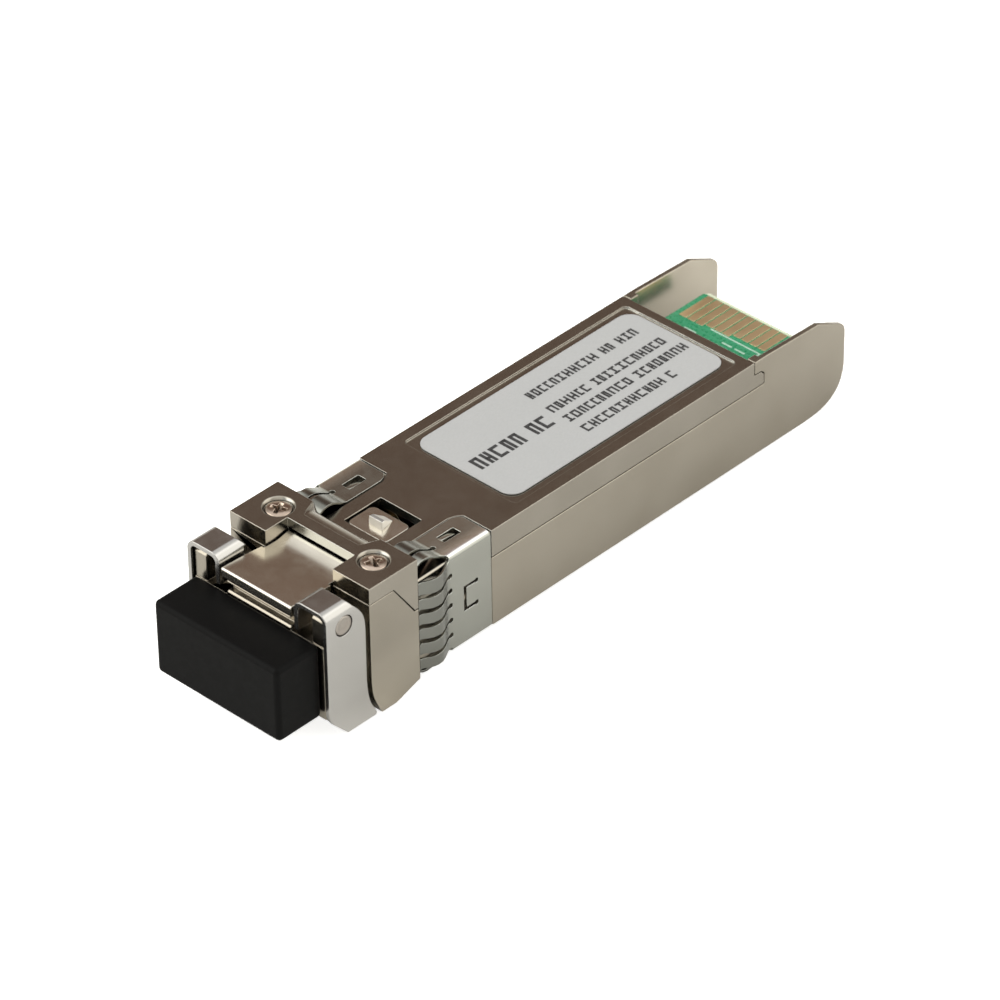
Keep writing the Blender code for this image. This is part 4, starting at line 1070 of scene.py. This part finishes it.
def side_cutouts(sign):
    """Outlines cut from one half of the flat sheet."""
    def flip(u):
        return u if sign > 0 else TOTAL - u

    outlines = [keyhole(flip(u)) for u in [u_top(SLIT_TOP_X)] + [u_side(z) for z in SLIT_SIDE_Z]]

    # the open corners, at the top and at the bottom
    low, high = sorted((flip(u_top(6.20)), flip(u_side(8.14))))
    outlines.append([(low, OPEN_V), (high, OPEN_V), (high, 1.15)]
                    + arc((high - 0.40, 1.25), 0.40, 0, 90, 6)
                    + arc((low + 0.40, 1.25), 0.40, 90, 180, 6) + [(low, 1.15)])
    low, high = sorted((flip(u_side(0.46)), flip(u_low(6.25))))
    outlines.append([(low, OPEN_V), (high, OPEN_V), (high, 1.30)]
                    + arc(((low + high) / 2, 1.45), (high - low) / 2, 0, 180, 8) + [(low, 1.30)])

    # locking tab on the side: a bracket-shaped slit with round ends
    front, rear = TAB_V
    half = TAB_HALF
    legs = [flip(u_side(z)) for z in TAB_Z]
    for u in legs:
        outlines.append([(u - half, front - half), (u + half, front - half), (u + half, rear)]
                        + arc((u, rear + 0.12), 0.21, -30, 210, 10) + [(u - half, rear)])
    low, high = sorted(legs)
    outlines.append([(low - half, front - half - 0.05), (high + half, front - half - 0.05),
                     (high + half, front + half), (low - half, front + half)])

    # small punched window on the top flap
    window = sorted((flip(u_top(4.38)), flip(u_top(5.20))))
    outlines.append(rounded(window, (2.68, 4.40), 0.10, 4))

    # eased inner rear corner of the flap
    free = flip(0.0)
    ease = [(-0.2, 4.96), (0.0, 4.96), (0.16, 5.46), (0.49, 5.80), (0.62, 6.1), (-0.2, 6.1)]
    outlines.append([(free + sign * u, v) for u, v in ease][::sign])
    return outlines


def cutout_tool():
    outlines = side_cutouts(1) + side_cutouts(-1)
    outlines += [keyhole(u_low(LOW_PITCH * (k - (LOW_SLITS - 1) / 2))) for k in range(LOW_SLITS)]
    shape = bmesh.new()
    for outline in outlines:
        shape.from_mesh(flat_mesh("cutout", outline, 0.4))
    return keep("collar_cutters", to_mesh("collar_cutters", shape))


def wrap(vert):
    """Moves a vertex of the flat sheet to its place round the body."""
    u, v, height = (c / MM for c in vert.co)
    (x, z), (nx, nz) = sheet_point(min(max(u, 0.0), TOTAL))
    lift = bulge(v)
    sink_from, sink_to = (u_side(edge) for edge in SINK_Z)
    front, rear = SINK_V
    if sink_from + 0.05 < min(u, TOTAL - u) < sink_to - 0.05 and front < v < rear:
        lift -= SINK * (rear - v) / (rear - front)
    out = lift + height
    vert.co = place(x + nx * out, v, z + nz * out)


def build_collar():
    collar = flat_sheet()
    boolean(collar, cutout_tool(), "DIFFERENCE", use_self=True)
    applied(collar)
    with editing(collar.data) as shape:
        bmesh.ops.remove_doubles(shape, verts=shape.verts, dist=1e-6)
        bmesh.ops.triangulate(shape, faces=[f for f in shape.faces if len(f.verts) > 4],
                              quad_method="BEAUTY", ngon_method="BEAUTY")
        for vert in shape.verts:
            wrap(vert)
        bmesh.ops.recalc_face_normals(shape, faces=shape.faces)
    shade_by_angle(collar, 42)
    piece(collar, "collar_sheet", steel, "housing", "emi_collar")


def build_flap_tongue(side, sign):
    """The punched tongue standing in a flap's window, bent down a little towards the rear."""
    tongue = plate("flap_tongue", TONGUE_LINE, "YZ", side_span(sign, 4.45, 4.84))
    soften(tongue, 0.035, angle=30)
    shade(tongue)
    piece(tongue, "flap_tongue_" + side, steel, "housing", "emi_collar")


# ================================================================ dust plug
def build_plug():
    plug = box("plug", (-6.26, 6.26), (-15.42, -11.10), (1.20, 7.62))
    soften(plug, 0.42, segments=5, angle=30, profile=0.5)
    applied(plug)
    for side, sign in SIDES:
        port = sign * PORT_X
        stem = rounded((port - 2.25, port + 2.25), (PORT_Z - 2.25, PORT_Z + 2.25), 0.5)
        add(plug, plate("stem_" + side, stem, "XZ", (-11.6, -3.60)))
        cut(plug, rod("bore_" + side, "Y", (port, 0, PORT_Z), 1.75, (-10.4, -3.0)))
    tidy(applied(plug), 0.2)
    shade(plug)
    piece(plug, "plug_rubber", rubber, "plug", "dust_plug")


# ================================================================ label and its print
# rows of print: middle x, first y, last y, letter height, stroke width, gap between letters
PRINT_ROWS = [(0.25, 11.05, 19.0, 1.50, 0.30, 0.26),
              (-2.85, 20.0, 32.0, 0.93, 0.20, 0.17),
              (-0.50, 19.8, 32.1, 0.93, 0.20, 0.17),
              (1.20, 19.8, 32.8, 0.93, 0.20, 0.17),
              (3.00, 19.8, 29.9, 0.93, 0.20, 0.17)]
# the strokes of each kind of mark
MARKS = [("first", "last", "low"), ("first", "low", "high"), ("first", "mid", "last"),
         ("low", "high", "centre"), ("first", "high", "last", "low")]
SPACE_CHANCE = 0.13
INK_LOW, INK_TOP, INK_STEP = 8.4785, 8.4840, 0.00002    # tops are staggered by the step


def build_label():
    label = plate("label", rounded((-5.02, 5.02), (10.0, 33.45), 1.2, 10), "XY", (8.38, 8.48))
    soften(label, 0.03, angle=30)
    shade(label)
    piece(label, "label_sheet", label_paper, "housing", "label")


def print_row(rng, x_mid, y, y_end, height, stroke, gap):
    """A row of meaningless block marks running along the module, like tiny print."""
    x0, x1 = x_mid - height / 2, x_mid + height / 2
    out = []
    while y < y_end - 0.3:
        width = height * rng.uniform(0.45, 0.72)
        if rng.random() < SPACE_CHANCE:
            y += height * 0.5
            continue
        x_bar, y_bar = x0 + (x1 - x0) * 0.45, y + width / 2
        strokes = {
            "first": ((x0, x1), (y, y + stroke)),
            "last": ((x0, x1), (y + width - stroke, y + width)),
            "centre": ((x0, x1), (y_bar - stroke / 2, y_bar + stroke / 2)),
            "low": ((x0, x0 + stroke), (y, y + width)),
            "mid": ((x_bar, x_bar + stroke), (y, y + width)),
            "high": ((x1 - stroke, x1), (y, y + width)),
        }
        out += [strokes[key] for key in MARKS[rng.randrange(len(MARKS))]]
        y += width + gap
    return out


def build_print():
    rng = random.Random(7)
    strokes = [stroke for row in PRINT_ROWS for stroke in print_row(rng, *row)]
    ranges = [(x, y, (INK_LOW, INK_TOP + INK_STEP * (n % 37)))
              for n, (x, y) in enumerate(strokes)]
    piece(blocks("label_print", ranges), "label_print", ink, "housing")


# ================================================================ board, its contacts and marks
BOARD_LINE = [(-5.5, 10.5), (5.5, 10.5), (5.5, 33.6), (4.6, 34.2), (4.6, 41.4), (4.2, 41.8),
              (-4.2, 41.8), (-4.6, 41.4), (-4.6, 34.2), (-5.5, 33.6)]
PAD_PITCH, PAD_HALF, PAD_REAR = 0.82, 0.355, 41.42
PAD_SUNK, PAD_PROUD = 0.005, 0.035
PAD_FRONTS_TOP = (38.05,) * 3 + (38.35,) * 3 + (38.70,) * 4     # from left to right
PAD_FRONT_LOW = 38.3
# printed marks: x range, y range
BOARD_MARKS = [((-0.9, 4.10), (38.12, 38.26)), ((3.96, 4.10), (37.3, 38.12)),
               ((0.9, 1.9), (37.35, 37.50)), ((2.2, 3.2), (37.35, 37.50)),
               ((-2.6, -1.4), (37.0, 37.12))]


def build_board():
    board = plate("board", BOARD_LINE, "XY", BOARD_Z)
    soften(board, 0.10, angle=30)
    shade(board)
    piece(board, "board", solder_mask, "housing", "main_pcb")


def build_contacts():
    low, top = BOARD_Z
    ranges = []
    for k, front in enumerate(PAD_FRONTS_TOP):
        x = (k - (len(PAD_FRONTS_TOP) - 1) / 2) * PAD_PITCH
        width = (x - PAD_HALF, x + PAD_HALF)
        ranges.append((width, (front, PAD_REAR), (top - PAD_SUNK, top + PAD_PROUD)))
        ranges.append((width, (PAD_FRONT_LOW, PAD_REAR), (low - PAD_PROUD, low + PAD_SUNK)))
    pads = blocks("contacts", ranges)
    soften(pads, 0.012, segments=1, angle=30)
    shade(pads)
    piece(pads, "board_contacts", gold_metal, "housing")


def build_marks():
    height = (BOARD_Z[1] - 0.003, BOARD_Z[1] + 0.012)
    marks = blocks("board_marks", [(x, y, height) for x, y in BOARD_MARKS])
    piece(marks, "board_marks", silkscreen, "housing")


# ================================================================ pieces kept from the frame
FRAME_MATERIALS = {
    "latch_axle": pin_metal, "tosa_body": can_metal, "rosa_body": can_metal,
    "tosa_sleeve": zirconia, "rosa_sleeve": zirconia, "tosa_flex": film, "rosa_flex": film,
    "osa_clamp": nickel, "laser_driver_ic": mould, "receiver_ic": mould,
    "microcontroller_ic": mould, "thermal_pad": gel, "power_inductor": mould,
    "bulk_capacitor": tan, "lower_memory_ic": mould, "ferrite_bead": mould,
}


def build_spring():
    """The frame's own spring, which the latch squashes as it rocks, copied into a mesh of its own
    and shaded smooth.
    """
    spring = keep("spring_wire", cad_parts["latch_spring"].data.copy())
    smooth(spring)
    piece(spring, "spring_wire", steel, "housing", "latch_spring")
    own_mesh(spring)


def dress_frame():
    for name, mat in FRAME_MATERIALS.items():
        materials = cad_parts[name].data.materials
        materials.clear()
        materials.append(mat)


# ================================================================ floor
FLOOR_LIFT = 0.74                           # glow seen by the camera only
FLOOR_HALF = 6.0                            # metres
FLOOR_RISE, FLOOR_RUN = 1.35, 48.5          # its slope along Y


def floor_mat():
    mat, net, surface = fresh("pale_floor")
    mottle = net.noise(net.mm(), scale=0.02, detail=3.0)
    path = net.node("ShaderNodeLightPath")
    net.feed(surface, {
        "Base Color": net.mix(net.ramp(mottle, start=0.3, end=0.7),
                              (0.80, 0.80, 0.79), (0.84, 0.84, 0.83)),
        "Roughness": 0.9,
        "Specular IOR Level": 0.1,
        "Emission Color": (1.0, 1.0, 0.995, 1.0),
        "Emission Strength": net.math("MULTIPLY", path.outputs["Is Camera Ray"], FLOOR_LIFT),
    })
    return mat


def build_floor():
    """A wide floor, tilted so that it meets the module's underside."""
    shape = bmesh.new()
    bmesh.ops.create_grid(shape, x_segments=8, y_segments=8, size=FLOOR_HALF)
    tilt = Matrix.Rotation(math.atan2(FLOOR_RISE, FLOOR_RUN), 3, "X")
    bmesh.ops.rotate(shape, verts=shape.verts, cent=(0, 0, 0), matrix=tilt)
    bmesh.ops.translate(shape, verts=shape.verts, vec=place(0, -7.9, -1.37))
    floor = bpy.data.objects.new("floor", to_mesh("floor", shape))
    bpy.context.scene.collection.objects.link(floor)
    floor.data.materials.append(floor_mat())


# ================================================================ surroundings
# The metal mirrors a pale room and a broad pale ceiling. Angles are degrees.
ROOM, CEILING, CEILING_FROM = (0.52, 0.505, 0.475), (1.20, 1.19, 1.16), (40, 54)
# glowing panels: azimuth, elevation, full out to, gone by, colour
PANELS = [(-135, 28, 22, 42, (2.45, 2.42, 2.30)),
          (48, 30, 20, 42, (1.55, 1.52, 1.42)),
          (130, 28, 18, 46, (0.55, 0.54, 0.51))]
# the dark brown wall that the flat tops mirror, and the elevations it fades in over
WALL, WALL_COLOUR, WALL_FROM = (-45, 26, 15, 26), (0.205, 0.140, 0.108), (9, 22)
# a low glow beneath it
LOW_GLOW, LOW_COLOUR = (-45, 2, 8, 24), (0.42, 0.40, 0.355)


def cosine(degrees):
    return math.cos(math.radians(degrees))


def sine(degrees):
    return math.sin(math.radians(degrees))


def patch(net, ray, azimuth, elevation, full, gone):
    """A round soft patch of sky; azimuth 0 is +Y, 90 is +X."""
    towards = (sine(azimuth) * cosine(elevation), cosine(azimuth) * cosine(elevation),
               sine(elevation))
    return net.ramp(net.vmath("DOT_PRODUCT", ray, towards), start=cosine(gone), end=cosine(full))


def build_world():
    world = bpy.data.worlds.new("studio")
    bpy.context.scene.world = world
    world.use_nodes = True
    world.node_tree.nodes.clear()
    net = Graph(world.node_tree)
    coord = net.node("ShaderNodeTexCoord")
    ray = net.vmath("NORMALIZE", coord.outputs["Generated"])
    height = net.split(ray)["Z"]

    light = net.mix(net.ramp(height, *map(sine, CEILING_FROM)), ROOM, CEILING)
    for *spread, colour in PANELS:
        glow = net.vmath("SCALE", colour, scale=patch(net, ray, *spread))
        light = net.vmath("ADD", light, glow)
    wall = net.math("MULTIPLY", patch(net, ray, *WALL), net.ramp(height, *map(sine, WALL_FROM)))
    light = net.mix(wall, light, WALL_COLOUR)
    glow = net.vmath("SCALE", LOW_COLOUR, scale=patch(net, ray, *LOW_GLOW))
    light = net.vmath("ADD", light, glow)

    # the camera itself sees plain white
    room = net.node("ShaderNodeBackground")
    net.feed(room, {"Color": light, "Strength": 1.0})
    plain = net.node("ShaderNodeBackground")
    net.feed(plain, {"Color": (1.0, 1.0, 0.995, 1.0)})
    path = net.node("ShaderNodeLightPath")
    mixer = net.node("ShaderNodeMixShader")
    net.feed(mixer, {"Fac": path.outputs["Is Camera Ray"],
                     1: room.outputs[0], 2: plain.outputs[0]})
    net.feed(net.node("ShaderNodeOutputWorld"), {"Surface": mixer.outputs[0]})


# ================================================================ camera
# a long lens, three-quarter view from the front right
AZIMUTH, ELEVATION, ROLL_ANGLE = 43.7186, 35.7643, -0.7685      # degrees
SHIFT_RIGHT, SHIFT_UP, DISTANCE = 11.5904, 12.0340, 434.378     # the eye, from the datum
SENSOR, LENS = 36.0, 214.50456
AIM_RIGHT, AIM_UP = -1.03536, -1.47636      # how far the aim turns, as mm on the sensor
FOCUS = (1.0, 6.0, 7.0)


def camera_matrix():
    azimuth, elevation, roll = map(math.radians, (AZIMUTH, ELEVATION, ROLL_ANGLE))
    back = Vector((math.sin(azimuth) * math.cos(elevation),
                   -math.cos(azimuth) * math.cos(elevation), math.sin(elevation)))
    right = Vector((math.cos(azimuth), math.sin(azimuth), 0.0))
    up = back.cross(right)
    right, up = (math.cos(roll) * right + math.sin(roll) * up,
                 -math.sin(roll) * right + math.cos(roll) * up)
    eye = place(*(right * SHIFT_RIGHT + up * SHIFT_UP + back * DISTANCE))
    back = -(right * AIM_RIGHT / LENS + up * AIM_UP / LENS - back).normalized()
    right = (right - back * right.dot(back)).normalized()
    up = back.cross(right)
    return Matrix((*zip(right, up, back, eye), (0, 0, 0, 1)))


def build_camera():
    scene = bpy.context.scene
    lens = bpy.data.cameras.new("camera")
    lens.sensor_width = SENSOR
    lens.lens = LENS
    lens.clip_start, lens.clip_end = 0.01, 50.0
    camera = bpy.data.objects.new("camera", lens)
    scene.collection.objects.link(camera)
    camera.matrix_world = camera_matrix()
    focus = bpy.data.objects.new("focus_point", None)
    scene.collection.objects.link(focus)
    focus.location = place(*FOCUS)
    lens.dof.use_dof = True
    lens.dof.focus_object = focus
    lens.dof.aperture_fstop = 90.0
    scene.camera = camera


# ================================================================ build
build_base()
build_cover()
for side, sign in SIDES:
    build_screw(side, sign)
build_bail()
for side, sign in SIDES:
    build_pin(side, sign)
build_lever()
build_boss()
build_collar()
for side, sign in SIDES:
    build_flap_tongue(side, sign)
build_plug()
build_label()
build_print()
build_board()
build_contacts()
build_marks()
build_spring()
dress_frame()
build_floor()
build_world()
bpy.context.scene.view_settings.view_transform = "Standard"
bpy.context.scene.view_settings.look = "None"
build_camera()
